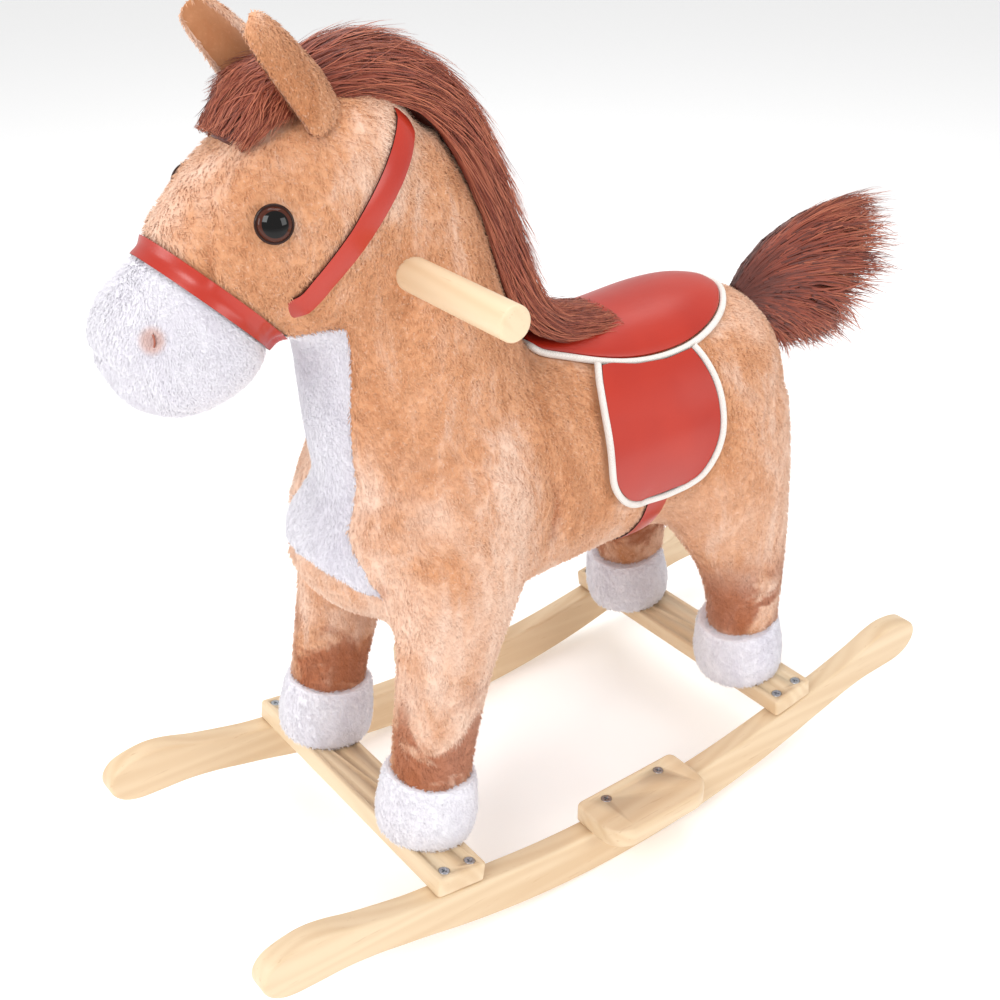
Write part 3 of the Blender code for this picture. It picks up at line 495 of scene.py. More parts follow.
def clouds(tree, vector, scale, detail=3.0, roughness=0.55, distortion=0.0):
    sockets = {"Vector": vector, "Scale": scale, "Detail": detail, "Roughness": roughness,
               "Distortion": distortion}
    return put(tree, "TexNoise", sockets).outputs["Fac"]


def stretched(tree, vector, scale, turn=(0.0, 0.0, 0.0)):
    return put(tree, "Mapping", {"Vector": vector, "Scale": scale, "Rotation": turn}).outputs[0]


def new_group(name, inputs, outputs):
    """A shader group: inputs maps names to default colours or values, outputs maps names to kinds."""
    tree = bpy.data.node_groups.new(name, "ShaderNodeTree")
    for label, default in inputs.items():
        kind = "NodeSocketFloat" if isinstance(default, float) else "NodeSocketColor"
        tree.interface.new_socket(name=label, in_out="INPUT", socket_type=kind).default_value = default
    for label, kind in outputs.items():
        tree.interface.new_socket(name=label, in_out="OUTPUT", socket_type=kind)
    enter = tree.nodes.new("NodeGroupInput")
    leave = tree.nodes.new("NodeGroupOutput")
    place = put(tree, "TexCoord").outputs["Object"]
    return tree, enter.outputs, leave.inputs, place


SURFACE = {"Color": "NodeSocketColor", "Roughness": "NodeSocketFloat", "Height": "NodeSocketFloat"}


def linear(colour):
    return (*colour, 1.0)


def nap_group():
    """Short brushed pile: broad patches where the nap lies another way, finer flecks, painted shade in the
    folds and a soft height.
    """
    values = {"Pale": (1, 1, 1, 1), "Middle": (1, 1, 1, 1), "Deep": (1, 1, 1, 1), "Patch Scale": 11.0,
              "Patchiness": 0.5, "Tone": 0.0, "Fold_Shade": 0.0}
    tree, given, out, place = new_group("Brushed nap", values, SURFACE)
    combed = stretched(tree, place, (1.0, 0.8, 0.42), (0.35, 0.0, 0.25))
    broad = clouds(tree, combed, given["Patch Scale"], 3.0, 0.55, 0.6)
    scale = sums(tree, "MULTIPLY", given["Patch Scale"], 4.6)
    streaks = clouds(tree, stretched(tree, place, (1.0, 0.9, 0.30), (0.5, 0.2, 0.2)), scale, 3.0, 0.6, 0.8)
    flecks = clouds(tree, place, 420.0, 2.0, 0.7)
    mixed = sums(tree, "ADD", sums(tree, "MULTIPLY", broad, 0.66), sums(tree, "MULTIPLY", streaks, 0.34))
    pale = soft_step(tree, mixed, 0.460, 0.640)
    deep = soft_step(tree, mixed, 0.480, 0.340)
    pale = sums(tree, "MULTIPLY", pale, given["Patchiness"])
    deep = sums(tree, "MULTIPLY", deep, given["Patchiness"])
    colour = blend(tree, pale, given["Middle"], given["Pale"])
    colour = blend(tree, deep, colour, given["Deep"])
    fleck = sums(tree, "MULTIPLY", soft_step(tree, flecks, 0.46, 0.30), 0.30)
    colour = blend(tree, fleck, colour, given["Deep"])
    glint = sums(tree, "MULTIPLY", soft_step(tree, flecks, 0.56, 0.72), 0.35)
    colour = blend(tree, glint, colour, given["Pale"])
    lift = sums(tree, "ADD", 1.0, given["Tone"])
    grey = put(tree, "CombineColor", {0: lift, 1: lift, 2: lift}).outputs[0]
    colour = blend(tree, 1.0, colour, grey, "MULTIPLY")
    # Painted shade: the colour goes deeper in the folds and nostril hollows.
    colour = blend(tree, given["Fold_Shade"], colour, blend(tree, 1.0, colour, given["Deep"], "MULTIPLY"))
    tree.links.new(colour, out["Color"])
    tree.links.new(sums(tree, "ADD", 0.82, sums(tree, "MULTIPLY", flecks, 0.2)), out["Roughness"])
    height = sums(tree, "ADD", sums(tree, "MULTIPLY", flecks, 0.6), sums(tree, "MULTIPLY", streaks, 0.8))
    tree.links.new(height, out["Height"])
    return tree


def hide_group():
    """Leather: fine pebbled grain, slow colour drift and a little polish where it is rubbed."""
    values = {"Face": (1, 0, 0, 1), "Shadow": (0.5, 0, 0, 1), "Grain Scale": 900.0}
    tree, given, out, place = new_group("Leather grain", values, SURFACE)
    drift = clouds(tree, place, 9.0, 3.0, 0.5)
    cells = put(tree, "TexVoronoi", {"Vector": place, "Scale": given["Grain Scale"], "Randomness": 0.9})
    creases = clouds(tree, stretched(tree, place, (1.0, 0.35, 1.0)), 70.0, 4.0, 0.6, 0.4)
    tone = sums(tree, "MULTIPLY", soft_step(tree, drift, 0.35, 0.70), 0.55)
    colour = blend(tree, tone, given["Face"], given["Shadow"])
    spots = sums(tree, "MULTIPLY", soft_step(tree, cells.outputs["Distance"], 0.75, 0.2), 0.10)
    colour = blend(tree, spots, colour, given["Shadow"])
    tree.links.new(colour, out["Color"])
    rough = sums(tree, "ADD", 0.27, sums(tree, "MULTIPLY", creases, 0.16))
    tree.links.new(rough, out["Roughness"])
    height = sums(tree, "ADD", sums(tree, "MULTIPLY", cells.outputs["Distance"], 0.35), creases)
    tree.links.new(height, out["Height"])
    return tree


def beech_group():
    """Beech: soft growth bands along the board, short dark flecks, and the lacquer's faint sheen painted
    paler on the eased edges.
    """
    values = {"Pale": (1, 1, 1, 1), "Middle": (1, 1, 1, 1), "Fleck": (1, 1, 1, 1), "Across X": 1.0,
              "Across Y": 1.0, "Across Z": 1.0}
    tree, given, out, place = new_group("Beech grain", values, SURFACE)
    scale = put(tree, "CombineXYZ", {0: given["Across X"], 1: given["Across Y"],
                                     2: given["Across Z"]}).outputs[0]
    along = put(tree, "VectorMath", {0: place, 1: scale}, operation="MULTIPLY").outputs[0]
    wander = clouds(tree, along, 14.0, 2.0, 0.5)
    bands = put(tree, "TexWave", {"Vector": along, "Scale": 26.0, "Distortion": 9.0, "Detail": 2.0,
                                  "Detail Scale": 0.6}, wave_type="BANDS",
                bands_direction="DIAGONAL").outputs["Fac"]
    pores = clouds(tree, stretched(tree, along, (1.0, 1.0, 1.0)), 190.0, 3.0, 0.7)
    tone = sums(tree, "ADD", sums(tree, "MULTIPLY", bands, 0.16), sums(tree, "MULTIPLY", wander, 0.95))
    colour = blend(tree, soft_step(tree, tone, 0.35, 0.80), given["Pale"], given["Middle"])
    fleck = sums(tree, "MULTIPLY", soft_step(tree, pores, 0.60, 0.74), 0.42)
    colour = blend(tree, fleck, colour, given["Fleck"])
    # Painted sheen: the eased edges go paler.
    edge = soft_step(tree, put(tree, "NewGeometry").outputs["Pointiness"], 0.52, 0.60)
    colour = blend(tree, sums(tree, "MULTIPLY", edge, 0.35), colour, given["Pale"])
    tree.links.new(colour, out["Color"])
    tree.links.new(sums(tree, "ADD", 0.40, sums(tree, "MULTIPLY", pores, 0.18)), out["Roughness"])
    tree.links.new(sums(tree, "ADD", pores, sums(tree, "MULTIPLY", bands, 0.4)), out["Height"])
    return tree


def weave_group():
    """A closely woven tape: two crossed sets of fine ribs."""
    values = {"Thread": (1, 1, 1, 1), "Shadow": (0.5, 0.5, 0.5, 1), "Thread Scale": 900.0}
    tree, given, out, place = new_group("Tape weave", values, SURFACE)
    ribs = [put(tree, "TexWave", {"Vector": stretched(tree, place, (1, 1, 1), turn),
                                  "Scale": given["Thread Scale"],
                                  "Distortion": 1.5}).outputs["Fac"]
            for turn in ((0.6, 0.3, 0.8), (-0.6, 0.4, -0.8))]
    weave = sums(tree, "MULTIPLY", *ribs)
    soil = clouds(tree, place, 60.0, 4.0, 0.6)
    colour = blend(tree, sums(tree, "MULTIPLY", soft_step(tree, weave, 0.35, 0.0), 0.30), given["Thread"],
                   given["Shadow"])
    colour = blend(tree, sums(tree, "MULTIPLY", soft_step(tree, soil, 0.50, 0.75), 0.25), colour,
                   given["Shadow"])
    tree.links.new(colour, out["Color"])
    tree.links.new(sums(tree, "ADD", 0.62, sums(tree, "MULTIPLY", weave, 0.2)), out["Roughness"])
    tree.links.new(weave, out["Height"])
    return tree


def strand_group():
    """Long pile: every strand has its own tone, with painted shade darkening it at the root, and lighter
    towards the tip.
    """
    values = {"Root": (0.1, 0, 0, 1), "Body": (0.3, 0.1, 0, 1), "Tip": (0.6, 0.3, 0.2, 1), "Tone": 0.5,
              "Reach": 0.5}
    tree, given, out, place = new_group("Hair strand", values, SURFACE)
    locks = clouds(tree, place, 34.0, 2.0, 0.5)
    tone = sums(tree, "ADD", sums(tree, "MULTIPLY", given["Tone"], 0.6), sums(tree, "MULTIPLY", locks, 0.4))
    # Painted shade: each strand takes the dark root colour near its root.
    colour = blend(tree, soft_step(tree, given["Reach"], 0.0, 0.45), given["Root"], given["Body"])
    ends = sums(tree, "MULTIPLY", soft_step(tree, given["Reach"], 0.30, 1.0),
                soft_step(tree, tone, 0.35, 0.75))
    colour = blend(tree, ends, colour, given["Tip"])
    dark = sums(tree, "MULTIPLY", soft_step(tree, tone, 0.44, 0.20), 0.7)
    colour = blend(tree, dark, colour, given["Root"])
    tree.links.new(colour, out["Color"])
    tree.links.new(sums(tree, "ADD", 0.36, sums(tree, "MULTIPLY", tone, 0.22)), out["Roughness"])
    tree.links.new(locks, out["Height"])
    return tree


def finish(name, group, values, bump=(0.3, 0.001), attributes=(), **shader_values):
    """A material: the group gives what varies, and the shader's own sockets hold what doesn't."""
    if name in MADE:
        return MADE[name]
    made = bpy.data.materials.new(name)
    made.use_nodes = True
    tree = made.node_tree
    shader = tree.nodes["Principled BSDF"]
    if group not in MADE:
        MADE[group] = group()
    surface = put(tree, "Group", values, node_tree=MADE[group])
    for label in attributes:
        read = put(tree, "Attribute", attribute_name=label.lower())
        tree.links.new(read.outputs["Fac"], surface.inputs[label])
    tree.links.new(surface.outputs["Color"], shader.inputs["Base Color"])
    tree.links.new(surface.outputs["Roughness"], shader.inputs["Roughness"])
    relief = put(tree, "Bump", {"Strength": bump[0], "Distance": bump[1],
                                "Height": surface.outputs["Height"]})
    tree.links.new(relief.outputs[0], shader.inputs["Normal"])
    for key, value in shader_values.items():
        shader.inputs[key.replace("_", " ")].default_value = value
    MADE[name] = made
    return made


# ---------------------------------------------------------------- finishes
def looks():
    return bpy.context.scene.horse_colours


def caramel_plush():
    c = looks()
    values = {"Pale": linear(c.coat_pale_and_highlight), "Middle": linear(c.coat), "Deep": linear(c.coat_deep),
              "Patch Scale": 11.0, "Patchiness": 0.85}
    made = finish("caramel_plush", nap_group, values, (0.55, 0.0022), ("Tone", "Fold_Shade"), Sheen_Weight=0.45,
                  Sheen_Roughness=0.45, Sheen_Tint=linear(c.coat_pale_and_highlight), Specular_IOR_Level=0.15)
    return highlights_and_leg_rust(made, c)


def highlights_and_leg_rust(material, c):
    """Paints highlights paler in patches on brow, chest and rump, washes the legs paler in patches, and the
    lower legs go a deeper rust.
    """
    tree = material.node_tree
    if tree.nodes.get("Lower legs"):
        return material
    shader = tree.nodes["Principled BSDF"]
    plain = shader.inputs["Base Color"].links[0].from_socket
    place = put(tree, "TexCoord").outputs["Object"]
    axes = put(tree, "SeparateXYZ", {0: place}).outputs
    height = axes["Z"]
    wash = soft_step(tree, clouds(tree, place, 15.0, 3.0, 0.55, 0.8), 0.28, 0.66)
    across = sums(tree, "ABSOLUTE", axes["X"])
    # Painted highlight: brow, chest and rump go paler where the light falls on them.
    brow_highlight = sums(tree, "MULTIPLY", soft_step(tree, across, 0.034, 0.018),
                soft_step(tree, height, 0.515, 0.545))
    brow_highlight = sums(tree, "MULTIPLY", brow_highlight, soft_step(tree, axes["Y"], -0.222, -0.246))
    rump_highlight = sums(tree, "MULTIPLY", soft_step(tree, axes["Y"], 0.095, 0.150), 0.75)
    chest_highlight = sums(tree, "MULTIPLY", soft_step(tree, axes["Y"], -0.150, -0.190),
                 soft_step(tree, height, 0.40, 0.34))
    knee = sums(tree, "MULTIPLY", soft_step(tree, height, 0.300, 0.265), 0.70)
    highlight_and_pale = sums(tree, "MAXIMUM", sums(tree, "MAXIMUM", brow_highlight, rump_highlight), sums(tree, "MAXIMUM", chest_highlight, knee))
    highlight_and_pale = sums(tree, "MULTIPLY", sums(tree, "MULTIPLY", highlight_and_pale, wash), 0.62)
    plain = blend(tree, highlight_and_pale, plain, linear(c.coat_pale_and_highlight))
    low = sums(tree, "MULTIPLY", soft_step(tree, height, 0.225, 0.160),
               soft_step(tree, height, 0.108, 0.134))
    blotch = soft_step(tree, clouds(tree, place, 24.0, 3.0, 0.6, 0.5), 0.40, 0.56)
    amount = sums(tree, "MULTIPLY", sums(tree, "MULTIPLY", low, blotch), 0.80)
    mixed = put(tree, "Mix", {0: amount, 6: plain, 7: linear(c.rust)}, data_type="RGBA", name="Lower legs")
    tree.links.new(mixed.outputs[2], shader.inputs["Base Color"])
    return material


def white_plush():
    c = looks()
    values = {"Pale": linear(c.white_pale), "Middle": linear(c.white), "Deep": linear(c.white_shadow),
              "Patch Scale": 16.0, "Patchiness": 0.35}
    made = finish("white_plush", nap_group, values, (0.40, 0.0018), ("Tone", "Fold_Shade"), Sheen_Weight=0.35,
                  Sheen_Roughness=0.5, Specular_IOR_Level=0.15)
    return nostrils_tinted(made, c)


def nostrils_tinted(material, c):
    """A pinkish beige blush round each nostril stitch."""
    tree = material.node_tree
    if tree.nodes.get("Nostril blush"):
        return material
    shader = tree.nodes["Principled BSDF"]
    plain = shader.inputs["Base Color"].links[0].from_socket
    place = put(tree, "TexCoord").outputs["Object"]
    folded = put(tree, "VectorMath", {0: place}, operation="ABSOLUTE").outputs[0]
    spot = (NOSTRIL.x, abs(NOSTRIL.y + BASE_Y), NOSTRIL.z)
    away = put(tree, "VectorMath", {0: folded, 1: spot}, operation="DISTANCE").outputs["Value"]
    amount = sums(tree, "MULTIPLY", soft_step(tree, away, 0.0105, 0.0045), 0.55)
    mixed = put(tree, "Mix", {0: amount, 6: plain, 7: linear(c.blush)}, data_type="RGBA",
                name="Nostril blush")
    tree.links.new(mixed.outputs[2], shader.inputs["Base Color"])
    return material


def ear_lining():
    c = looks()
    values = {"Pale": linear(c.coat), "Middle": linear(c.lining), "Deep": linear(c.coat_deep),
              "Patch Scale": 30.0, "Patchiness": 0.5}
    return finish("ear_lining", nap_group, values, (0.30, 0.0010), ("Tone", "Fold_Shade"), Sheen_Weight=0.25,
                  Specular_IOR_Level=0.15)


def chestnut_hair():
    c = looks()
    values = {"Root": linear(c.hair_root), "Body": linear(c.hair), "Tip": linear(c.hair_tip)}
    return finish("chestnut_hair", strand_group, values, (0.10, 0.0005), ("Tone", "Reach"),
                  Sheen_Weight=0.10, Specular_IOR_Level=0.45)


def brick_leather():
    c = looks()
    values = {"Face": linear(c.leather), "Shadow": linear(c.leather_shadow), "Grain Scale": 1100.0}
    return finish("brick_leather", hide_group, values, (0.10, 0.0004), Coat_Weight=0.25,
                  Coat_Roughness=0.24, Specular_IOR_Level=0.45)


def cut_edge():
    c = looks()
    values = {"Face": linear(c.cut_edge), "Shadow": linear(c.cut_edge), "Grain Scale": 1600.0}
    return finish("leather_cut_edge", hide_group, values, (0.30, 0.0006), Specular_IOR_Level=0.3)


def white_tape():
    c = looks()
    values = {"Thread": linear(c.piping), "Shadow": linear(c.piping_shadow), "Thread Scale": 380.0}
    return finish("white_tape", weave_group, values, (0.55, 0.0006), Sheen_Weight=0.2,
                  Specular_IOR_Level=0.25)


def beech(run):
    """Lacquered beech whose grain runs along X, Y or Z."""
    c = looks()
    values = {"Pale": linear(c.beech_pale), "Middle": linear(c.beech), "Fleck": linear(c.beech_fleck)}
    values.update({f"Across {axis}": 0.12 if axis == run else 1.7 for axis in "XYZ"})
    return finish(f"beech_along_{run.lower()}", beech_group, values, (0.12, 0.0005), Coat_Weight=0.22,
                  Coat_Roughness=0.30, Specular_IOR_Level=0.4)


def pine():
    c = looks()
    values = {"Pale": linear(c.beech), "Middle": linear(c.beech_fleck), "Fleck": linear(c.beech_fleck),
              "Across X": 1.6, "Across Y": 1.6, "Across Z": 0.2}
    return finish("bare_pine", beech_group, values, (0.35, 0.0008), Specular_IOR_Level=0.25)


def zinc():
    values = {"Face": linear(shade(205, 208, 212)), "Shadow": linear(shade(120, 122, 128)),
              "Grain Scale": 2600.0}
    return finish("zinc_plate", hide_group, values, (0.20, 0.0002), Metallic=1.0)


def eye_glass(name, colour):
    values = {"Face": linear(colour), "Shadow": linear([c * 0.6 for c in colour]), "Grain Scale": 300.0}
    made = finish(name, hide_group, values, (0.0, 0.0001), Coat_Weight=0.6, Coat_Roughness=0.02,
                  Specular_IOR_Level=0.0)
    shader = made.node_tree.nodes["Principled BSDF"]
    for link in shader.inputs["Roughness"].links:
        made.node_tree.links.remove(link)
    shader.inputs["Roughness"].default_value = 0.08
    return made


def enamel():
    values = {"Face": linear(shade(244, 244, 246)), "Shadow": linear(shade(214, 214, 220)),
              "Grain Scale": 900.0}
    return finish("white_enamel", hide_group, values, (0.05, 0.0002), Coat_Weight=0.8, Coat_Roughness=0.08)


def nostril_thread():
    values = {"Thread": linear(shade(176, 104, 84)), "Shadow": linear(shade(110, 60, 48)),
              "Thread Scale": 700.0}
    return finish("nostril_thread", weave_group, values, (0.5, 0.0004))


# ---------------------------------------------------------------- plush skin

def distance_to_line(points, line):
    """How far each point is from a line of points."""
    best = np.full(len(points), 1e9)
    for start, end in zip(line, line[1:]):
        a, b = np.array(start, float), np.array(end, float)
        run = b - a
        t = np.clip((points - a) @ run / max(run @ run, 1e-12), 0, 1)
        best = np.minimum(best, np.linalg.norm(points - a - t[:, None] * run, axis=1))
    return best


def plush_form():
    """The stuffed shape as one skin."""
    sizes = bpy.context.scene.horse_sizes
    bm = bmesh.new()
    for stations in (BARREL, NECK, HEAD, JAW, MUZZLE):
        loft(bm, stations)
    for mirror in (1, -1):
        loft(bm, FRONT_LEG, mirror=mirror)
        loft(bm, REAR_LEG, mirror=mirror)
    obj = add("form", to_mesh(bm))
    remesh = obj.modifiers.new("stuffing", "REMESH")
    remesh.mode = "VOXEL"
    remesh.voxel_size = sizes.skin_mesh
    soften = obj.modifiers.new("soften", "SMOOTH")
    soften.factor = 0.5
    soften.iterations = int(8 * (0.007 / sizes.skin_mesh) ** 2)
    mesh = evaluated(obj)
    drop(obj)
    return mesh


def bib_field(points):
    """Below 0 inside the bib, above 0 outside it."""
    heights = np.array([z for z, _ in reversed(BIB)])
    widths = np.array([w for _, w in reversed(BIB)])
    w = np.interp(points[:, 2], heights, widths, left=-0.02, right=-0.02)
    across = np.abs(points[:, 0])
    foot = np.interp(across, [x for x, _ in BIB_FOOT], [z for _, z in BIB_FOOT])
    above = np.maximum(foot - points[:, 2], points[:, 2] - BIB_TOP)
    return np.maximum(np.maximum(across - w, above), points[:, 1] - BIB_BACK)


def nose_field(points):
    """Below 0 in the muzzle, in front of the noseband, and above 0 everywhere else."""
    behind = -(points - np.array(NOSE_CENTRE)) @ np.array(NOSE_AXIS)
    return np.maximum(np.maximum(behind, points[:, 1] + 0.2225), 0.400 - points[:, 2])


def bar_frame(end):
    """The placement of a crossbar: origin on its top face, Z out of it. end is -1 at the front."""
    tilt = Matrix.Rotation(end * BAR_TILT, 4, "X")
    base = Matrix.Translation((0, end * BAR_Y, BAR_Z)) @ tilt
    return base @ Matrix.Translation((0, 0, BAR_THICK))


def hoof_field(points):
    """Below 0 in the hooves, above 0 in the legs."""
    field = np.full(len(points), 1.0)
    for end in (-1, 1):
        place = bar_frame(end)
        up = np.array(place.to_3x3() @ Vector((0, 0, 1)))
        height = (points - np.array(place.translation)) @ up - HOOF_HEIGHT + 0.001
        near = (points[:, 1] * end > 0) & (points[:, 2] < 0.2)
        field = np.where(near, height, field)
    return field


def stuffed(mesh, held, cap):
    """Fills the skin by a short cloth simulation with air pressure, moving no point further than cap."""
    start = points_of(mesh)
    obj = add("stuffing_test", mesh.copy())
    group = obj.vertex_groups.new(name="held")
    group.add([int(i) for i in held], 1.0, "REPLACE")
    cloth = obj.modifiers.new("stuffing", "CLOTH")
    cloth.settings.quality = 4
    cloth.settings.mass = 0.3
    cloth.settings.tension_stiffness = 9
    cloth.settings.compression_stiffness = 9
    cloth.settings.shear_stiffness = 4
    cloth.settings.bending_stiffness = 0.25
    cloth.settings.use_pressure = True
    cloth.settings.uniform_pressure_force = 4
    cloth.settings.vertex_group_mass = "held"
    cloth.settings.effector_weights.gravity = 0
    cloth.point_cache.frame_start = 1
    cloth.point_cache.frame_end = 20
    for number in range(1, 21):
        bpy.context.scene.frame_set(number)
    moved = points_of(evaluated(obj)) - start
    drop(obj)
    bpy.context.scene.frame_set(1)
    far = np.linalg.norm(moved, axis=1, keepdims=True)
    return start + moved * np.minimum(1.0, cap / np.maximum(far, 1e-9))


def skin():
    """The finished skin, made once: padded, with its folds, a weight for the shade painted into the folds
    and nostril hollows, and a tree for finding points on it.
    """
    if "skin" in MADE:
        return MADE["skin"]
    sizes = bpy.context.scene.horse_sizes
    mesh = plush_form()
    points = points_of(mesh)
    seams = np.abs(bib_field(points)) < 0.004
    seams |= np.abs(nose_field(points)) < 0.004
    seams |= np.abs(hoof_field(points)) < 0.006
    points = points - normals_of(mesh) * (sizes.stuffing + 0.0012)
    move_points(mesh, points)
    points = stuffed(mesh, np.nonzero(seams)[0], sizes.stuffing)
    move_points(mesh, points)
    refine = add("refine", mesh)
    split = refine.modifiers.new("finer", "SUBSURF")
    split.levels = 1
    split.render_levels = 1
    mesh = evaluated(refine)
    drop(refine)
    points, normals = points_of(mesh), normals_of(mesh)
    # Weight of the shade painted into the folds and nostril hollows; the tufts there are also shorter.
    fold_shade = np.zeros(len(points))
    for line, width, depth in FOLDS:
        for mirror in (1, -1):
            near = distance_to_line(points, [(x * mirror, y, z) for x, y, z in line])
            points -= normals * (depth * np.exp(-(near / width) ** 2))[:, None]
            fold_shade = np.maximum(fold_shade, 0.75 * np.exp(-(near / (width * 0.5)) ** 2))
    for mirror in (1, -1):
        near = np.linalg.norm(points - np.array((NOSTRIL.x * mirror, NOSTRIL.y, NOSTRIL.z)), axis=1)
        points -= normals * (0.0040 * np.exp(-(near / 0.006) ** 2))[:, None]
        fold_shade = np.maximum(fold_shade, 0.8 * np.exp(-(near / 0.006) ** 2))
    edge = np.exp(-(bib_field(points) / 0.0035) ** 2) * (points[:, 1] < BIB_BACK)
    points -= normals * (0.0022 * edge)[:, None]
    pinch = np.exp(-((nose_field(points) - 0.0020) / 0.0085) ** 2)
    points -= normals * (0.0050 * pinch)[:, None]
    move_points(mesh, points)
    mesh.attributes.new("fold_shade", "FLOAT", "POINT").data.foreach_set("value", fold_shade)
    MADE["skin"] = mesh
    MADE["tree"] = tree_of(mesh)
    return mesh


def skin_tree():
    skin()
    return MADE["tree"]


def on_skin(centre, direction):
    """Where a ray from inside the plush comes out of it."""
    return skin_tree().ray_cast(centre, direction.normalized())[0]


def cut_along(bm, field):
    """Cuts the mesh where the field is zero, and labels each point with which side it is on."""
    points = np.array([v.co for v in bm.verts])
    values = field(points)
    values = np.where(np.abs(values) < 2e-4, 2e-4, values)
    bm.verts.index_update()
    crossing = [e for e in bm.edges if values[e.verts[0].index] * values[e.verts[1].index] < 0]
    fresh = []
    for edge in crossing:
        a, b = edge.verts
        share = values[a.index] / (values[a.index] - values[b.index])
        fresh.append((edge, a, share))
    made = [bmesh.utils.edge_split(edge, a, share)[1] for edge, a, share in fresh]
    bmesh.ops.connect_verts(bm, verts=made)


def region(name, keep, *materials, lip=0.003):
    """A piece of the skin where every field in keep is above 0, with its rim turned in to a seam."""
    bm = bmesh.new()
    bm.from_mesh(skin())
    for field in keep:
        cut_along(bm, field)
    centres = np.array([face.calc_center_median() for face in bm.faces])
    inside = np.ones(len(centres), bool)
    for field in keep:
        inside &= field(centres) > 0
    gone = [face for face, stays in zip(bm.faces, inside) if not stays]
    bmesh.ops.delete(bm, geom=gone, context="FACES")
    bm.normal_update()
    rim = [edge for edge in bm.edges if edge.is_boundary]
    made = bmesh.ops.extrude_edge_only(bm, edges=rim)["geom"]
    turned_in = {item for item in made if isinstance(item, bmesh.types.BMVert)}
    old = {vert: vert.normal.copy() for edge in rim for vert in edge.verts}
    for vert in turned_in:
        partner = next((e.other_vert(vert) for e in vert.link_edges if e.other_vert(vert) in old), None)
        if partner is not None:
            vert.co -= old[partner] * lip
    mesh = bpy.data.meshes.new(name)
    bm.to_mesh(mesh)
    bm.free()
    return add(name, mesh, *materials)


# ---------------------------------------------------------------- pile and hair
def flow(points, normals):
    """The way the nap lies: back and down, with a slow swirl."""
    swirl = (0.5 * np.sin(points[:, [1]] * 34 + points[:, [2]] * 21)
             + 0.35 * np.sin(points[:, [0]] * 47 - points[:, [2]] * 33))
    lie = np.hstack([0.3 * swirl, 0.45 + 0.5 * swirl, -np.ones((len(points), 1))])
    lie -= normals * np.sum(lie * normals, axis=1, keepdims=True)
    return lie / np.maximum(np.linalg.norm(lie, axis=1, keepdims=True), 1e-6)


def sprinkle(mesh, count, rng):
    """Random points on a mesh, spread evenly by area: places, normals and the weight of the painted fold
    shade there.
    """
    mesh.calc_loop_triangles()
    corners = np.empty(len(mesh.loop_triangles) * 3, np.int32)
    mesh.loop_triangles.foreach_get("vertices", corners)
    corners = corners.reshape(-1, 3)
    points, normals = points_of(mesh), normals_of(mesh)
    a, b, c = (points[corners[:, k]] for k in range(3))
    area = np.linalg.norm(np.cross(b - a, c - a), axis=1)
    pick = rng.choice(len(corners), count, p=area / area.sum())
    u, v = rng.random((2, count))
    flip = u + v > 1
    u[flip], v[flip] = 1 - u[flip], 1 - v[flip]
    weights = np.stack([1 - u - v, u, v], axis=1)[:, :, None]
    fold_shade = np.zeros(len(points))
    if "fold_shade" in mesh.attributes:
        mesh.attributes["fold_shade"].data.foreach_get("value", fold_shade)
    at = (points[corners[pick]] * weights).sum(axis=1)
    out = (normals[corners[pick]] * weights).sum(axis=1)
    out /= np.maximum(np.linalg.norm(out, axis=1, keepdims=True), 1e-9)
    return at, out, (fold_shade[corners[pick]] * weights[:, :, 0]).sum(axis=1)


def uncovered(at, out, covers, reach=0.012):
    """True where nothing lies on the plush within reach."""
    free = np.ones(len(at), bool)
    for cover in covers:
        low = np.array([min(v[k] for v in cover["corners"]) - 0.015 for k in range(3)])
        high = np.array([max(v[k] for v in cover["corners"]) + 0.015 for k in range(3)])
        near = np.nonzero(free & np.all((at > low) & (at < high), axis=1))[0]
        for i in near:
            if cover["tree"].ray_cast(Vector(at[i] - out[i] * 0.002), Vector(out[i]), reach)[0] is not None:
                free[i] = False
    return free


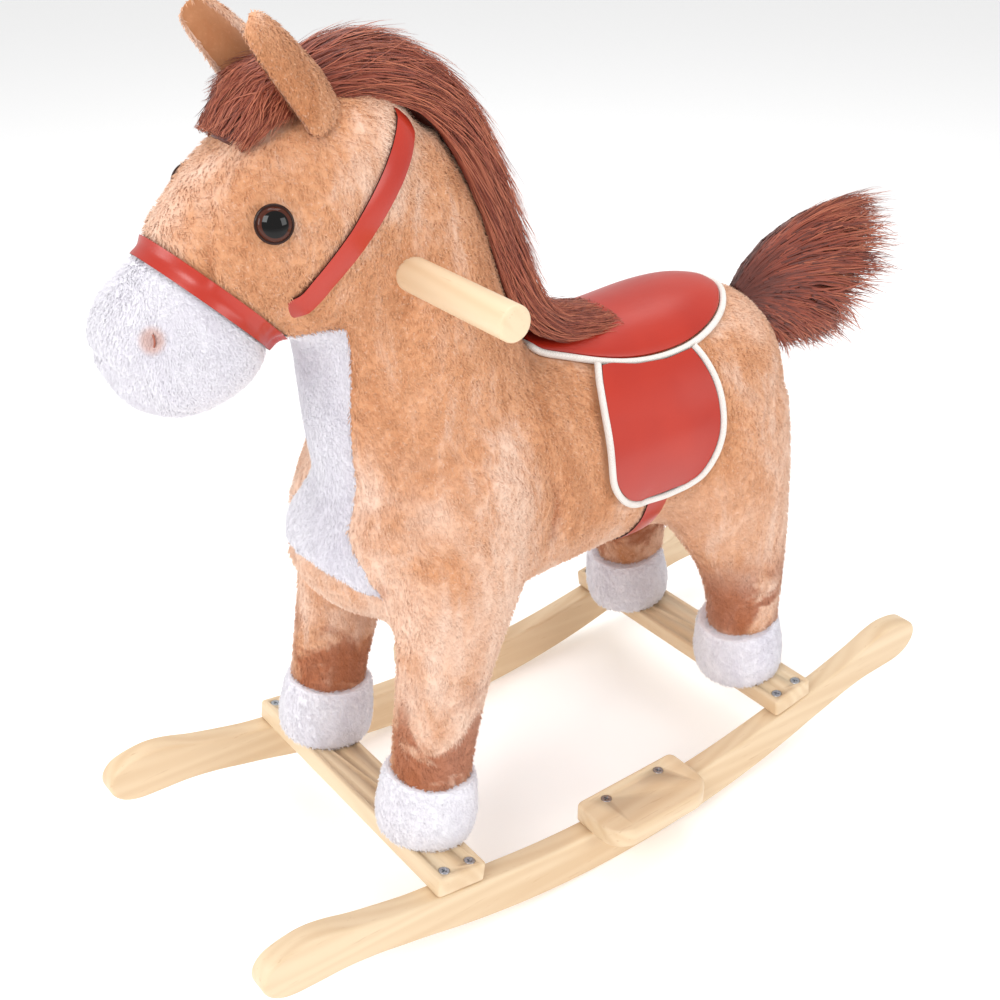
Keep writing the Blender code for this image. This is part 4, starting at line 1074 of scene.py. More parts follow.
def pile(name, source, count, length, width, material, seed, covers=()):
    """A fuzz of small flat tufts on a plush piece, all lying with the nap."""
    rng = np.random.default_rng(seed)
    at, out, fold_shade = sprinkle(source.data, count, rng)
    free = uncovered(at, out, covers)
    at, out, fold_shade = at[free], out[free], fold_shade[free]
    n = len(at)
    lie = flow(at, out) + rng.normal(0, 0.35, (n, 3))
    lie -= out * np.sum(lie * out, axis=1, keepdims=True)
    lie /= np.maximum(np.linalg.norm(lie, axis=1, keepdims=True), 1e-6)
    side = np.cross(out, lie)
    size = length * rng.uniform(0.55, 1.15, (n, 1)) * (1 - 0.5 * fold_shade[:, None])
    wide = width * rng.uniform(0.6, 1.2, (n, 1)) / 2
    root = at - out * 0.0006
    middle = at + out * size * 0.22 + lie * size * 0.38
    tip = at + out * size * rng.uniform(0.22, 0.46, (n, 1)) + lie * size
    corners = np.stack([root + side * wide, root - side * wide, middle - side * wide * 0.75,
                        middle + side * wide * 0.75, tip], axis=1).reshape(-1, 3)
    base = np.arange(n)[:, None] * 5
    faces = np.hstack([base + 0, base + 1, base + 2, base + 3, base + 3, base + 2, base + 4])
    starts = np.stack([np.arange(n) * 7, np.arange(n) * 7 + 4], axis=1).ravel()
    mesh = bpy.data.meshes.new(name)
    mesh.vertices.add(n * 5)
    mesh.vertices.foreach_set("co", corners.ravel())
    mesh.loops.add(n * 7)
    mesh.loops.foreach_set("vertex_index", faces.ravel().astype(np.int32))
    mesh.polygons.add(n * 2)
    mesh.polygons.foreach_set("loop_start", starts.astype(np.int32))
    mesh.update(calc_edges=True)
    # Carries the painted fold shade to the tufts.
    mesh.attributes.new("fold_shade", "FLOAT", "POINT").data.foreach_set("value", np.repeat(fold_shade, 5))
    tone = rng.normal(0, 0.035, n)
    mesh.attributes.new("tone", "FLOAT", "POINT").data.foreach_set("value", np.repeat(tone, 5))
    obj = add(name, mesh, material)
    mesh.normals_split_custom_set_from_vertices(np.repeat(out, 5, axis=0).tolist())
    return obj


def strands(name, paths, widths, ref, material, rng):
    """Tapered hairs of V section along paths (strand, ring, xyz)."""
    n, rings, _ = paths.shape
    ahead = np.roll(paths, -1, axis=1) - paths
    ahead[:, -1] = ahead[:, -2]
    ahead /= np.maximum(np.linalg.norm(ahead, axis=2, keepdims=True), 1e-9)
    side = np.cross(ahead, ref)
    side /= np.maximum(np.linalg.norm(side, axis=2, keepdims=True), 1e-9)
    out = np.cross(side, ahead)
    taper = np.array([1 - 0.92 * (k / (rings - 1)) ** 1.6 for k in range(rings)])[None, :, None]
    wide = widths[:, None, None] * taper / 2
    rows = np.stack([paths - side * wide, paths + out * wide * 0.8, paths + side * wide], axis=2)
    index = np.arange(n * rings * 3).reshape(n, rings, 3)
    quads = []
    for k in range(2):
        low, high = index[:, :-1, k:k + 2], index[:, 1:, k:k + 2]
        quads.append(np.stack([low[..., 0], low[..., 1], high[..., 1], high[..., 0]],
                              axis=-1).reshape(-1, 4))
    faces = np.concatenate(quads)
    mesh = bpy.data.meshes.new(name)
    mesh.vertices.add(n * rings * 3)
    mesh.vertices.foreach_set("co", rows.reshape(-1))
    mesh.loops.add(faces.size)
    mesh.loops.foreach_set("vertex_index", faces.ravel().astype(np.int32))
    mesh.polygons.add(len(faces))
    mesh.polygons.foreach_set("loop_start", np.arange(0, faces.size, 4, dtype=np.int32))
    mesh.update(calc_edges=True)
    tone = np.repeat(rng.random(n), rings * 3)
    reach = np.tile(np.repeat(np.linspace(0, 1, rings), 3), n)
    mesh.attributes.new("tone", "FLOAT", "POINT").data.foreach_set("value", tone)
    mesh.attributes.new("reach", "FLOAT", "POINT").data.foreach_set("value", reach)
    return add(name, mesh, material)


def combed(name, stations, count, length, material, seed, rings=8, locks=120, width=0.0014, start=0.88):
    """Hair that lies along a crest: strands leave it near the middle and reach its outside."""
    rng = np.random.default_rng(seed)
    lock_t, lock_q = rng.uniform(0, start, locks), rng.uniform(-0.30, math.pi + 0.30, locks)
    lock_far = rng.uniform(0.85, 1.42, locks)
    lock_length = length * rng.uniform(0.75, 1.15, locks)
    table = [station_frame(stations, t) for t in steps(0, 1, 200)]
    centre, side, up = (np.array([row[k] for row in table]) for k in (0, 2, 3))
    up *= np.sign(up[:, 2].mean())
    sizes = np.array([row[4:6] for row in table])
    pick = rng.integers(0, locks, count)
    t0 = lock_t[pick] + rng.normal(0, 0.045, count)
    t0 = np.where(t0 < 0, -0.5 * t0, np.minimum(t0, start))
    q0 = lock_q[pick] + rng.normal(0, 0.55, count)
    q0 = np.clip(q0, -0.35, math.pi + 0.35)
    far = lock_far[pick] * rng.uniform(0.80, 1.05, count)
    run = lock_length[pick] * rng.uniform(0.80, 1.08, count)
    u = np.linspace(0, 1, rings)[None, :]
    t = np.clip(t0[:, None] + run[:, None] * u, 0, 1)
    pull = rng.choice((0.15, 0.45, 0.80), count)[:, None]
    q = q0[:, None] + (lock_q[pick] - q0)[:, None] * (pull * u ** 1.5)
    rise = np.minimum(far[:, None], 0.92)
    rho = 0.30 + (rise - 0.30) * np.minimum(1.0, u * 2.2) + (far[:, None] - rise) * u ** 2
    step = np.clip((t * 200).astype(int), 0, 199)
    part = (t * 200 - step)[..., None]

    def read(values):
        return values[step] * (1 - part) + values[np.minimum(step + 1, 200)] * part

    size = read(sizes)
    round_side = read(side) * (size[..., [0]] * np.cos(q)[..., None] * rho[..., None])
    round_up = read(up) * (size[..., [1]] * np.sin(q)[..., None] * rho[..., None])
    paths = read(centre) + round_side + round_up
    paths += rng.normal(0, 0.0006, paths.shape) * u[..., None]
    ref = read(side) * np.cos(q)[..., None] + read(up) * np.sin(q)[..., None]
    widths = width * rng.uniform(0.6, 1.3, count)
    return strands(name, paths, widths, ref, material, rng)


def shade_bed(name, stations, scale, material):
    """A solid under-layer below the strands, in the dark root colour of the painted shade between them, so
    that nothing shows through them.
    """
    bm = bmesh.new()
    loft(bm, [(x, y, z, a * scale, b * scale) for x, y, z, a, b in stations], 40, 24)
    mesh = to_mesh(bm)
    return add(name, mesh, material)


# ---------------------------------------------------------------- straps and saddle
def strap_grid(point, angles, width, lift, across=6):
    """A strap with a crowned face: rows of points across it, and the same rows underneath."""
    top, low = [], []
    for angle in angles:
        shares = steps(-1, 1, across)
        top.append([point(angle, s * width / 2, lift(angle) + STRAP_THICK * (1 - 0.35 * s ** 4))
                    for s in shares])
        low.append([point(angle, s * width / 2, lift(angle)) for s in shares])
    return top, low


def shell(name, top, low, face, edge, closed=False):
    """A thin solid between two grids: its faces are leather and its sides are the cut edge."""
    bm = bmesh.new()
    sheets = [[[bm.verts.new(p) for p in row] for row in grid] for grid in (top, low)]
    rows, cols = len(top), len(top[0])
    for sheet in sheets:
        for i in range(rows if closed else rows - 1):
            k = (i + 1) % rows
            for j in range(cols - 1):
                bm.faces.new((sheet[i][j], sheet[k][j], sheet[k][j + 1], sheet[i][j + 1]))
    upper, lower = sheets
    sides = []
    for i in range(rows if closed else rows - 1):
        k = (i + 1) % rows
        for j in (0, cols - 1):
            sides.append(bm.faces.new((upper[i][j], upper[k][j], lower[k][j], lower[i][j])))
    if not closed:
        for i in (0, rows - 1):
            for j in range(cols - 1):
                sides.append(bm.faces.new((upper[i][j], upper[i][j + 1], lower[i][j + 1], lower[i][j])))
    for side in sides:
        side.material_index = 1
    mesh = to_mesh(bm)
    sharpen(mesh, 50)
    return add(name, mesh, face, edge)


def nose_up(axis):
    up = axis.cross(Vector((1, 0, 0))).normalized()
    return up if up.z > 0 else -up


def band_point(centre, axis, angle, shift, lift):
    """A point on a strap round the head: angle from +X toward the up side of its plane."""
    q = math.radians(angle)
    out = Vector((1, 0, 0)) * math.cos(q) + nose_up(axis) * math.sin(q)
    start = centre + axis * shift
    reach = min((on_skin(start, out) - start).length, BAND_REACH)
    return start + out * (reach + lift)


def cheek_lift(angle):
    """The headstall lies on the plush and rises over the noseband at its two ends."""
    near = min(abs(angle - STRAP_END), abs(angle - (180 - STRAP_END)))
    return STRAP_LIFT + 0.0036 * min(1.0, max(0.0, 1.5 - near / 20))


def cheek_shift(angle):
    """The headstall lies a little back of its plane, and bends forward to the rivets at its two ends."""
    near = min(abs(angle - STRAP_END), abs(angle - (180 - STRAP_END)))
    return -0.0036 + 0.0075 * max(0.0, 1 - near / 26) ** 1.5


def barrel_point(y, angle, lift, side=1):
    """A point on the body: the angle is measured from straight up, toward the side."""
    q = math.radians(angle)
    out = Vector((side * math.sin(q), 0, math.cos(q)))
    return on_skin(Vector((0, y, BARREL_AXIS_Z)), out) + out * lift


def evened(path, passes=2):
    """Takes small kinks out of a closed line of points."""
    count = len(path)
    for _ in range(passes):
        path = [(path[k - 1] + path[k] * 2 + path[(k + 1) % count]) / 4 for k in range(count)]
    return path


def outward(path, distance):
    """A line of (along, across) points moved sideways, to its left."""
    moved = []
    for k, (a, b) in enumerate(path):
        a0, b0 = path[max(k - 1, 0)]
        a1, b1 = path[min(k + 1, len(path) - 1)]
        size = math.hypot(a1 - a0, b1 - b0)
        moved.append((a - (b1 - b0) / size * distance, b + (a1 - a0) / size * distance))
    return moved


def place_all(*objs, body="horse", slot=None):
    """Moves pieces from the rocker's middle to the model's place, and lets them ride on a body."""
    for obj in objs:
        obj.data.transform(Matrix.Translation(SHIFT))
        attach(obj, body)
    return objs


# ---------------------------------------------------------------- settings
def colour_setting(label, words, default):
    return FloatVectorProperty(name=label, description=words, subtype="COLOR", size=3, min=0, max=1,
                               default=shade(*default))


class HorseColours(PropertyGroup):
    """Colours of the plush, hair, leather and wood."""

    coat: colour_setting("Coat", "Caramel plush", (216, 158, 118))
    # Also the colour of the highlights painted on brow, chest and rump.
    coat_pale_and_highlight: colour_setting("Coat, pale", "Where the nap is brushed up", (240, 210, 190))
    # Also tints the shade painted into the folds.
    coat_deep: colour_setting("Coat, deep", "Where the nap lies flat", (190, 126, 84))
    rust: colour_setting("Rust", "Patches on the lower legs", (160, 84, 48))
    lining: colour_setting("Ear lining", "Short caramel lining", (196, 138, 96))
    blush: colour_setting("Nostril blush", "Round the nostril stitches", (226, 172, 146))
    white: colour_setting("White plush", "Muzzle, bib and hooves", (232, 229, 236))
    white_pale: colour_setting("White, pale", "Brushed-up white nap", (250, 249, 252))
    white_shadow: colour_setting("White, shadow", "White nap lying flat", (206, 200, 212))
    hair: colour_setting("Hair", "Mane, forelock and tail", (142, 62, 40))
    hair_root: colour_setting("Hair, root", "Shadow between the strands", (88, 34, 22))
    hair_tip: colour_setting("Hair, tip", "Light ends of the strands", (196, 116, 84))
    leather: colour_setting("Leather", "Saddle and bridle", (186, 46, 24))
    leather_shadow: colour_setting("Leather, shadow", "Darker drift in the leather", (158, 30, 18))
    cut_edge: colour_setting("Cut edge", "Dark edge of the straps", (52, 20, 16))
    piping: colour_setting("Piping", "White tape round the saddle", (243, 238, 232))
    piping_shadow: colour_setting("Piping, shadow", "Between the tape's threads", (196, 180, 168))
    beech: colour_setting("Beech", "Lacquered beech", (216, 186, 148))
    # Also the colour of the sheen painted on the eased edges.
    beech_pale: colour_setting("Beech, pale", "Pale growth bands", (230, 206, 172))
    beech_fleck: colour_setting("Beech, fleck", "Short dark flecks", (190, 148, 106))
    floor: colour_setting("Floor", "The floor and backdrop", (250, 250, 250))


class HorseSizes(PropertyGroup):
    """Sizes of the soft details."""

    skin_mesh: FloatProperty(name="Skin mesh",
                             description="Spacing of the stuffed skin before it is refined",
                             default=0.0055, min=0.004, max=0.01, unit="LENGTH")
    stuffing: FloatProperty(name="Stuffing", description="Furthest that the filling pushes the skin out",
                            default=0.0042, min=0.0, max=0.01, unit="LENGTH")
    pile_length: FloatProperty(name="Pile length", description="Length of the coat's tufts", default=0.0052,
                               min=0.001, max=0.01, unit="LENGTH")
    pile_width: FloatProperty(name="Pile width", description="Width of one tuft", default=0.0010,
                              min=0.0003, max=0.003, unit="LENGTH")
    coat_tufts: IntProperty(name="Coat tufts", description="Tufts on each half of the coat",
                            default=60000, min=0)
    mane_strands: IntProperty(name="Mane strands", description="Hairs in the mane", default=7000, min=1)
    tail_strands: IntProperty(name="Tail strands", description="Hairs in the tail", default=6500, min=1)


# ---------------------------------------------------------------- operators
class HORSE_OT_stage(Operator):
    """Camera, soft studio light and a pale floor"""

    bl_idname = "horse.stage"
    bl_label = "Stage"

    def execute(self, context):
        self.floor()
        self.camera(context)
        self.lamp("key", (1.0, -1.9, 1.9), (0, 0, 0.35), 1.1, 27)
        self.lamp("fill", (2.1, 0.6, 1.2), (0, 0, 0.35), 1.0, 13)
        self.lamp("top", (-0.4, 0.3, 2.3), (0, 0, 0.3), 1.6, 22)
        self.lamp("front", (-0.9, -2.0, 1.0), (0, -0.1, 0.4), 0.9, 9)
        world = bpy.data.worlds.new("studio")
        context.scene.world = world
        world.use_nodes = True
        back = world.node_tree.nodes["Background"]
        back.inputs["Color"].default_value = (1.0, 1.0, 1.0, 1.0)
        back.inputs["Strength"].default_value = 0.62
        context.scene.view_settings.view_transform = "Standard"
        return {"FINISHED"}

    def floor(self):
        bm = bmesh.new()
        bmesh.ops.create_circle(bm, cap_ends=True, segments=64, radius=9)
        values = {"Thread": linear(looks().floor), "Shadow": linear(looks().floor), "Thread Scale": 40.0}
        paint = finish("floor_paint", weave_group, values, (0.0, 0.0001), Specular_IOR_Level=0.2,
                       Emission_Color=(1.0, 1.0, 1.0, 1.0), Emission_Strength=0.22)
        add("floor", to_mesh(bm), paint, smooth=False)

    def camera(self, context):
        data = bpy.data.cameras.new("camera")
        data.lens = 49.19
        data.sensor_width = 36
        camera = bpy.data.objects.new("camera", data)
        context.scene.collection.objects.link(camera)
        camera.location = (0.7285, -0.6270, 0.7986)
        camera.rotation_euler = Vector((-0.6915, 0.5291, -0.4918)).to_track_quat("-Z", "Y").to_euler()
        context.scene.camera = camera

    def lamp(self, name, place, target, size, power):
        data = bpy.data.lights.new(name, "AREA")
        data.size = size
        data.energy = power
        lamp = bpy.data.objects.new(name, data)
        bpy.context.scene.collection.objects.link(lamp)
        lamp.location = place
        lamp.rotation_euler = (Vector(target) - Vector(place)).to_track_quat("-Z", "Y").to_euler()


class HORSE_OT_rockers(Operator):
    """Two curved beech rockers, the crossbars and the footrests"""

    bl_idname = "horse.rockers"
    bl_label = "Rockers, crossbars and footrests"

    def execute(self, context):
        for side, name in ((1, "rocker_left"), (-1, "rocker_right")):
            self.rocker(side, name)
        for end, name in ((-1, "crossbar_front"), (1, "crossbar_rear")):
            self.crossbar(end, name)
        for side, name in ((1, "footrest_left"), (-1, "footrest_right")):
            self.footrest(side, name)
        return {"FINISHED"}

    def rocker(self, side, name):
        def sole(y):
            return ROCKER_SOLE_RADIUS - math.sqrt(ROCKER_SOLE_RADIUS ** 2 - y * y)

        half = [(y, sole(y)) for y in (0.0, 0.03, 0.06, 0.09, 0.12, 0.15, 0.18, 0.205)]
        half += [(0.228, 0.0355), (0.250, 0.0410), (0.275, 0.0451), (0.300, 0.0463), (0.318, 0.0475)]
        half += [(0.330, 0.0515), (0.338, 0.0590), (0.341, 0.0680), (0.3385, 0.0765), (0.331, 0.0833)]
        half += [(0.318, 0.0870), (0.302, 0.0882), (0.285, 0.0850), (0.264, 0.0778), (0.240, 0.0712)]
        half += [(0.215, 0.0652), (0.190, 0.0612), (0.160, 0.0552), (0.130, 0.0503), (0.100, 0.0460)]
        half += [(0.070, 0.0430), (0.035, 0.0411), (0.0, 0.0405)]
        outline = smooth_outline(half + [(-y, z) for y, z in reversed(half[1:-1])], 4)
        turn = Matrix(((0, 0, 1, 0), (1, 0, 0, 0), (0, 1, 0, 0), (0, 0, 0, 1)))
        centre = side * (ROCKER_LOW.x + ROCKER_HIGH.x) / 2
        place = Matrix.Translation((centre, 0, 0)) @ turn
        made = board(f"{name}_beech", outline, ROCKER_THICK, place, 0.0024, beech("Y"))
        place_all(made, slot="beech")
        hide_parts(name)

    def crossbar(self, end, name):
        low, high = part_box(name)
        hw, hl, r = BAR_WIDTH / 2, (high[0] - low[0]) / 2, 0.003
        outline = []
        for sx, sy, start in ((1, 1, 0), (-1, 1, 90), (-1, -1, 180), (1, -1, 270)):
            outline += arc(sx * (hl - r), sy * (hw - r), r, start, start + 90, 5)
        place = bar_frame(end) @ Matrix.Translation((0, 0, -BAR_THICK / 2))
        x = (ROCKER_LOW.x + ROCKER_HIGH.x) / 2
        holes = [(side * x, step * 0.0115) for side in (-1, 1) for step in (-1, 1)]
        made = board(f"{name}_beech", outline, BAR_THICK, place, 0.0018, beech("X"), holes)
        place_all(made, slot="beech")
        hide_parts(name)

    def footrest(self, side, name):
        inner, outer, half = REST_LOW.x, REST_HIGH.x, (REST_HIGH.y - REST_LOW.y) / 2
        outline = arc(outer - 0.021, half - 0.021, 0.021, 0, 90, 14)
        outline += arc(inner + 0.006, half - 0.006, 0.006, 90, 180, 6)
        outline += arc(inner + 0.006, -half + 0.006, 0.006, 180, 270, 6)
        outline += arc(outer - 0.021, -half + 0.021, 0.021, 270, 360, 14)
        if side < 0:
            outline = [(-x, y) for x, y in reversed(outline)]
        place = Matrix.Translation((0, 0, (REST_LOW.z + REST_HIGH.z) / 2))
        holes = [(side * 0.1215, step * 0.028) for step in (-1, 1)]
        made = board(f"{name}_beech", outline, REST_HIGH.z - REST_LOW.z, place, 0.0024, beech("Y"), holes)
        place_all(made, slot="beech")
        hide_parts(name)


class HORSE_OT_handle(Operator):
    """The beech dowel through the neck"""

    bl_idname = "horse.handle"
    bl_label = "Handle"

    def execute(self, context):
        half, ease = (HANDLE_HIGH.x - HANDLE_LOW.x) / 2, 0.0028
        profile = [(0, -half)]
        profile += [(HANDLE_RADIUS - ease + x, z) for x, z in arc(0, -half + ease, ease, 270, 360, 6)]
        profile += [(HANDLE_RADIUS, z) for z in steps(-half * 0.9, half * 0.9, 8)]
        profile += [(HANDLE_RADIUS - ease + x, z) for x, z in arc(0, half - ease, ease, 0, 90, 6)]
        profile += [(0, half)]
        centre = (HANDLE_LOW + HANDLE_HIGH) / 2
        made = add("handle_beech", turned(profile, 56, facing(centre, (1, 0, 0))), beech("X"))
        sharpen(made.data, 60)
        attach(made, "horse")
        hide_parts("handle_dowel")
        return {"FINISHED"}


class HORSE_OT_screws(Operator):
    """Cross-head wood screws in the base, and the bolts and boards inside"""

    bl_idname = "horse.screws"
    bl_label = "Screws and inner frame"

    def execute(self, context):
        for end, end_name in ((-1, "front"), (1, "rear")):
            for side, side_name in ((1, "left"), (-1, "right")):
                for step, letter in ((-1, "a"), (1, "b")):
                    x = side * (ROCKER_LOW.x + ROCKER_HIGH.x) / 2
                    place = bar_frame(end) @ Matrix.Translation((x, step * 0.0115, 0))
                    self.screw(f"screw_{end_name}_{side_name}_{letter}", place)
        for side, side_name in ((1, "left"), (-1, "right")):
            for step, letter in ((-1, "a"), (1, "b")):
                place = Matrix.Translation((side * 0.1215, step * 0.028, REST_HIGH.z))
                self.screw(f"screw_footrest_{side_name}_{letter}", place)
        for name, node in NODES.items():
            if name.startswith("leg_bolt"):
                self.repaint(node, zinc())
            elif name.startswith("leg_post") or name.endswith("_board"):
                self.repaint(node, pine())
        return {"FINISHED"}

    def repaint(self, node, material):
        node.data.materials.clear()
        node.data.materials.append(material)

    def screw(self, name, place):
        """A countersunk head with a cross recess, on a plain shank."""
        radius, wide, long = 0.0042, 0.00055, 0.0024
        corner = math.atan2(wide, long)
        turns = []
        for quarter in range(4):
            base = quarter * math.pi / 2
            inner = [corner, math.pi / 8, math.pi / 4, 3 * math.pi / 8, math.pi / 2 - corner]
            turns += [base - corner / 2, base + corner / 2] + [base + q for q in inner]

        def cross(q):
            q = abs((q + math.pi / 4) % (math.pi / 2) - math.pi / 4)
            return min(long / math.cos(q), wide / max(math.sin(q), 1e-6))

        def ring(size, z):
            return [Vector((size * math.cos(q), size * math.sin(q), z)) for q in turns]

        loops = [ring(0.0006, -0.0270), ring(0.0020, -0.0240), ring(0.0020, -0.0032)]
        loops += [ring(radius - 0.0002, -0.0010), ring(radius, -0.0006), ring(radius - 0.0003, -0.0003)]
        for share, z in ((1.0, -0.0003), (0.94, -0.0006), (0.60, -0.0019)):
            loops.append([Vector((cross(q) * share * math.cos(q), cross(q) * share * math.sin(q), z))
                          for q in turns])
        bm = bmesh.new()
        stack(bm, loops)
        bmesh.ops.transform(bm, matrix=place @ Matrix.Rotation(0.4, 4, "Z"), verts=bm.verts)
        mesh = to_mesh(bm)
        sharpen(mesh, 32)
        made = add(f"{name}_zinc", mesh, zinc())
        place_all(made, slot="screw_steel")
        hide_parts(name)


class HORSE_OT_coat(Operator):
    """The caramel coat over the head, body and legs, with its pile"""

    bl_idname = "horse.coat"
    bl_label = "Coat"

    def execute(self, context):
        sizes = context.scene.horse_sizes
        plush = caramel_plush()
        coat = region("plush_coat", (bib_field, nose_field, hoof_field), plush)
        coat_covers = covers()
        halves = []
        for side, name in ((1, "left"), (-1, "right")):
            half = coat.data.copy()
            bm = bmesh.new()
            bm.from_mesh(half)
            gone = [face for face in bm.faces if face.calc_center_median().x * side < 0]
            bmesh.ops.delete(bm, geom=gone, context="FACES")
            bm.to_mesh(half)
            bm.free()
            holder = bpy.data.objects.new("half", half)
            halves.append(pile(f"coat_pile_{name}", holder, sizes.coat_tufts, sizes.pile_length,
                               sizes.pile_width, plush, 11 + side, coat_covers))
            drop(holder)
        place_all(coat, *halves, slot="caramel_plush")
        legs = [f"leg_{end}_{side}" for end in ("front", "rear") for side in ("left", "right")]
        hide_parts("torso", "head", *legs)
        return {"FINISHED"}


class HORSE_OT_white_plush(Operator):
    """The white muzzle with its nostrils, and the bib"""

    bl_idname = "horse.white_plush"
    bl_label = "Muzzle and bib"

    def execute(self, context):
        plush = white_plush()
        muzzle = region("plush_muzzle", (lambda p: -nose_field(p),), plush)
        bib = region("plush_bib", (lambda p: -bib_field(p), nose_field), plush)
        hidden = covers()
        muzzle_pile = pile("muzzle_pile", muzzle, 30000, 0.0040, 0.0008, plush, 21, hidden)
        bib_pile = pile("bib_pile", bib, 18000, 0.0038, 0.0008, plush, 22, hidden)
        place_all(muzzle, bib, muzzle_pile, bib_pile, slot="white_plush")
        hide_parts("muzzle")
        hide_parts("chest_bib")
        for side, name in ((1, "left"), (-1, "right")):
            self.nostril(side, name)
        return {"FINISHED"}

    def nostril(self, side, name):
        """A short curved stitch in the hollow of the nostril."""
        at = Vector((NOSTRIL.x * side, NOSTRIL.y, NOSTRIL.z))
        spot, out, _, _ = skin_tree().find_nearest(at)
        down = (Vector((0, 0.15, -1)) - out * out.dot(Vector((0, 0.15, -1)))).normalized()
        across = out.cross(down)
        path = []
        for t in steps(-1, 1, 12):
            bend = 0.0016 * (1 - t * t) * side
            path.append(spot + down * t * 0.0042 + across * bend + out * (0.0026 - 0.0018 * t * t))
        made = add(f"nostril_{name}", tube(path, 0.00065, 8), nostril_thread())
        place_all(made, slot="white_plush")


class HORSE_OT_hooves(Operator):
    """Four white plush cuffs standing on the crossbars"""

    bl_idname = "horse.hooves"
    bl_label = "Hooves"

    def execute(self, context):
        plush = white_plush()
        for number, (end, end_name) in enumerate(((-1, "front"), (1, "rear"))):
            for side, side_name in ((1, "left"), (-1, "right")):
                name = f"hoof_{end_name}_{side_name}"
                place = bar_frame(end) @ Matrix.Translation((side * POST_X, -end * 0.006, 0))
                cuff = self.cuff(f"{name}_plush", place, plush, number * 2 + side)
                fuzz = pile(f"{name}_pile", cuff, 8000, 0.0042, 0.0009, plush, 40 + number * 2 + side,
                            covers())
                place_all(cuff, fuzz, slot="white_plush")
                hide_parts(name)
        return {"FINISHED"}

    def cuff(self, name, place, plush, seed):
        r = HOOF_RADIUS
        shape = [(0.0, 0.0004), (0.6, 0.0004), (0.86, 0.0008), (0.96, 0.004), (1.0, 0.011), (1.02, 0.020)]
        shape += [(1.0, 0.030), (0.97, 0.039), (0.95, 0.046), (0.90, 0.0505), (0.80, 0.0525), (0.0, 0.0525)]
        profile = [catmull([(s * r, z) for s, z in shape], t) for t in steps(0, 1, 40)]
        profile = [(max(a, 0.0) if 0 < k < 40 else 0.0, b) for k, (a, b) in enumerate(profile)]
        mesh = turned(profile, 64)
        points, normals = points_of(mesh), normals_of(mesh)
        turn = np.arctan2(points[:, 1], points[:, 0])
        wave = np.sin(turn * 3 + seed) * 0.6 + np.sin(turn * 5 + points[:, 2] * 90 + seed * 2) * 0.4
        level = np.clip(points[:, 2] / 0.012, 0, 1)
        points += normals * (0.0008 * wave * level)[:, None]
        move_points(mesh, points)
        mesh.transform(place)
        return add(name, mesh, plush)


class HORSE_OT_ears(Operator):
    """Two cupped ears: plush outside, short lining inside"""

    bl_idname = "horse.ears"
    bl_label = "Ears"

    def execute(self, context):
        for side, name in ((1, "left"), (-1, "right")):
            ear = self.ear(side, name)
            back = ear.data.copy()
            bm = bmesh.new()
            bm.from_mesh(back)
            lining = [face for face in bm.faces if face.material_index]
            bmesh.ops.delete(bm, geom=lining, context="FACES")
            bm.to_mesh(back)
            bm.free()
            holder = bpy.data.objects.new("back", back)
            fuzz = pile(f"ear_pile_{name}", holder, 3600, 0.0034, 0.0009, caramel_plush(), 60 + side)
            drop(holder)
            place_all(ear, fuzz, body=f"ear_{name}", slot="caramel_plush")
            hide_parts(f"ear_{name}")
        return {"FINISHED"}

    def ear(self, side, name):
        half = 16
        loops = []
        for t in steps(0, 1, 30):
            centre, along, _, _, a, b = station_frame(EAR, t)
            back = Vector((math.cos(EAR_TURN), math.sin(EAR_TURN), 0))
            up = back.cross(along).normalized()
            rim = math.sin(math.pi * min(1.0, 0.25 + 0.75 * t) * 0.98)
            cup = a * (0.35 + 1.0 * rim)
            ends = math.sqrt(max(0.02, 1 - max(0.0, (t - 0.86) / 0.14) ** 2))
            b *= ends
            outer = [(s, a * math.sqrt(max(0.0, 1 - s * s * 0.92)) - a * 0.25 * s * s)
                     for s in steps(-1, 1, half)]
            inner = [(s * 0.90, -a * 0.55 + cup * (1 - s * s) ** 1.2) for s in steps(1, -1, half)]
            loop = [centre + up * b * s + back * x * ends for s, x in outer + inner]
            loops.append([Vector((p.x * side, p.y, p.z)) for p in loop])
        bm = bmesh.new()
        rows = stack(bm, loops)
        inside = {vert for row in rows for vert in row[half + 2:2 * half]}
        for face in bm.faces:
            face.material_index = 1 if all(vert in inside for vert in face.verts) else 0
        mesh = to_mesh(bm)
        return add(f"ear_plush_{name}", mesh, caramel_plush(), ear_lining())


class HORSE_OT_eyes(Operator):
    """Domed eyes: black centre, brown ring and a dark rim"""

    bl_idname = "horse.eyes"
    bl_label = "Eyes"

    def execute(self, context):
        for side, name in ((1, "left"), (-1, "right")):
            out = Vector((EYE_OUT.x * side, EYE_OUT.y, EYE_OUT.z))
            apex = max((v.co for v in NODES[f"eye_{name}"].data.vertices), key=lambda p: p.dot(out))
            place = facing(Vector(apex) - out * 0.0060, out)
            profile = [(0, -0.0020), (0.0100, -0.0020), (0.0113, -0.0008), (0.0116, 0.0006),
                       (0.0112, 0.0015)]
            profile += [(0.0105, 0.0018), (0.0100, 0.0016)]
            profile += [(0.0099 * math.cos(q), 0.0016 + 0.0049 * math.sin(q))
                        for q in steps(0, math.pi / 2, 16)]
            profile[-1] = (0, 0.0065)
            mesh = turned(profile, 48)
            for face in mesh.polygons:
                reach = math.hypot(face.center.x, face.center.y)
                face.material_index = 0 if reach < 0.0076 else 1 if reach < 0.0100 else 2
            mesh.transform(place)
            black = eye_glass("eye_black", shade(10, 8, 8))
            ring = eye_glass("eye_ring", shade(74, 34, 22))
            rim = eye_glass("eye_rim", shade(46, 24, 18))
            made = add(f"eye_dome_{name}", mesh, black, ring, rim)
            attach(made, "horse")
            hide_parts(f"eye_{name}")
        return {"FINISHED"}


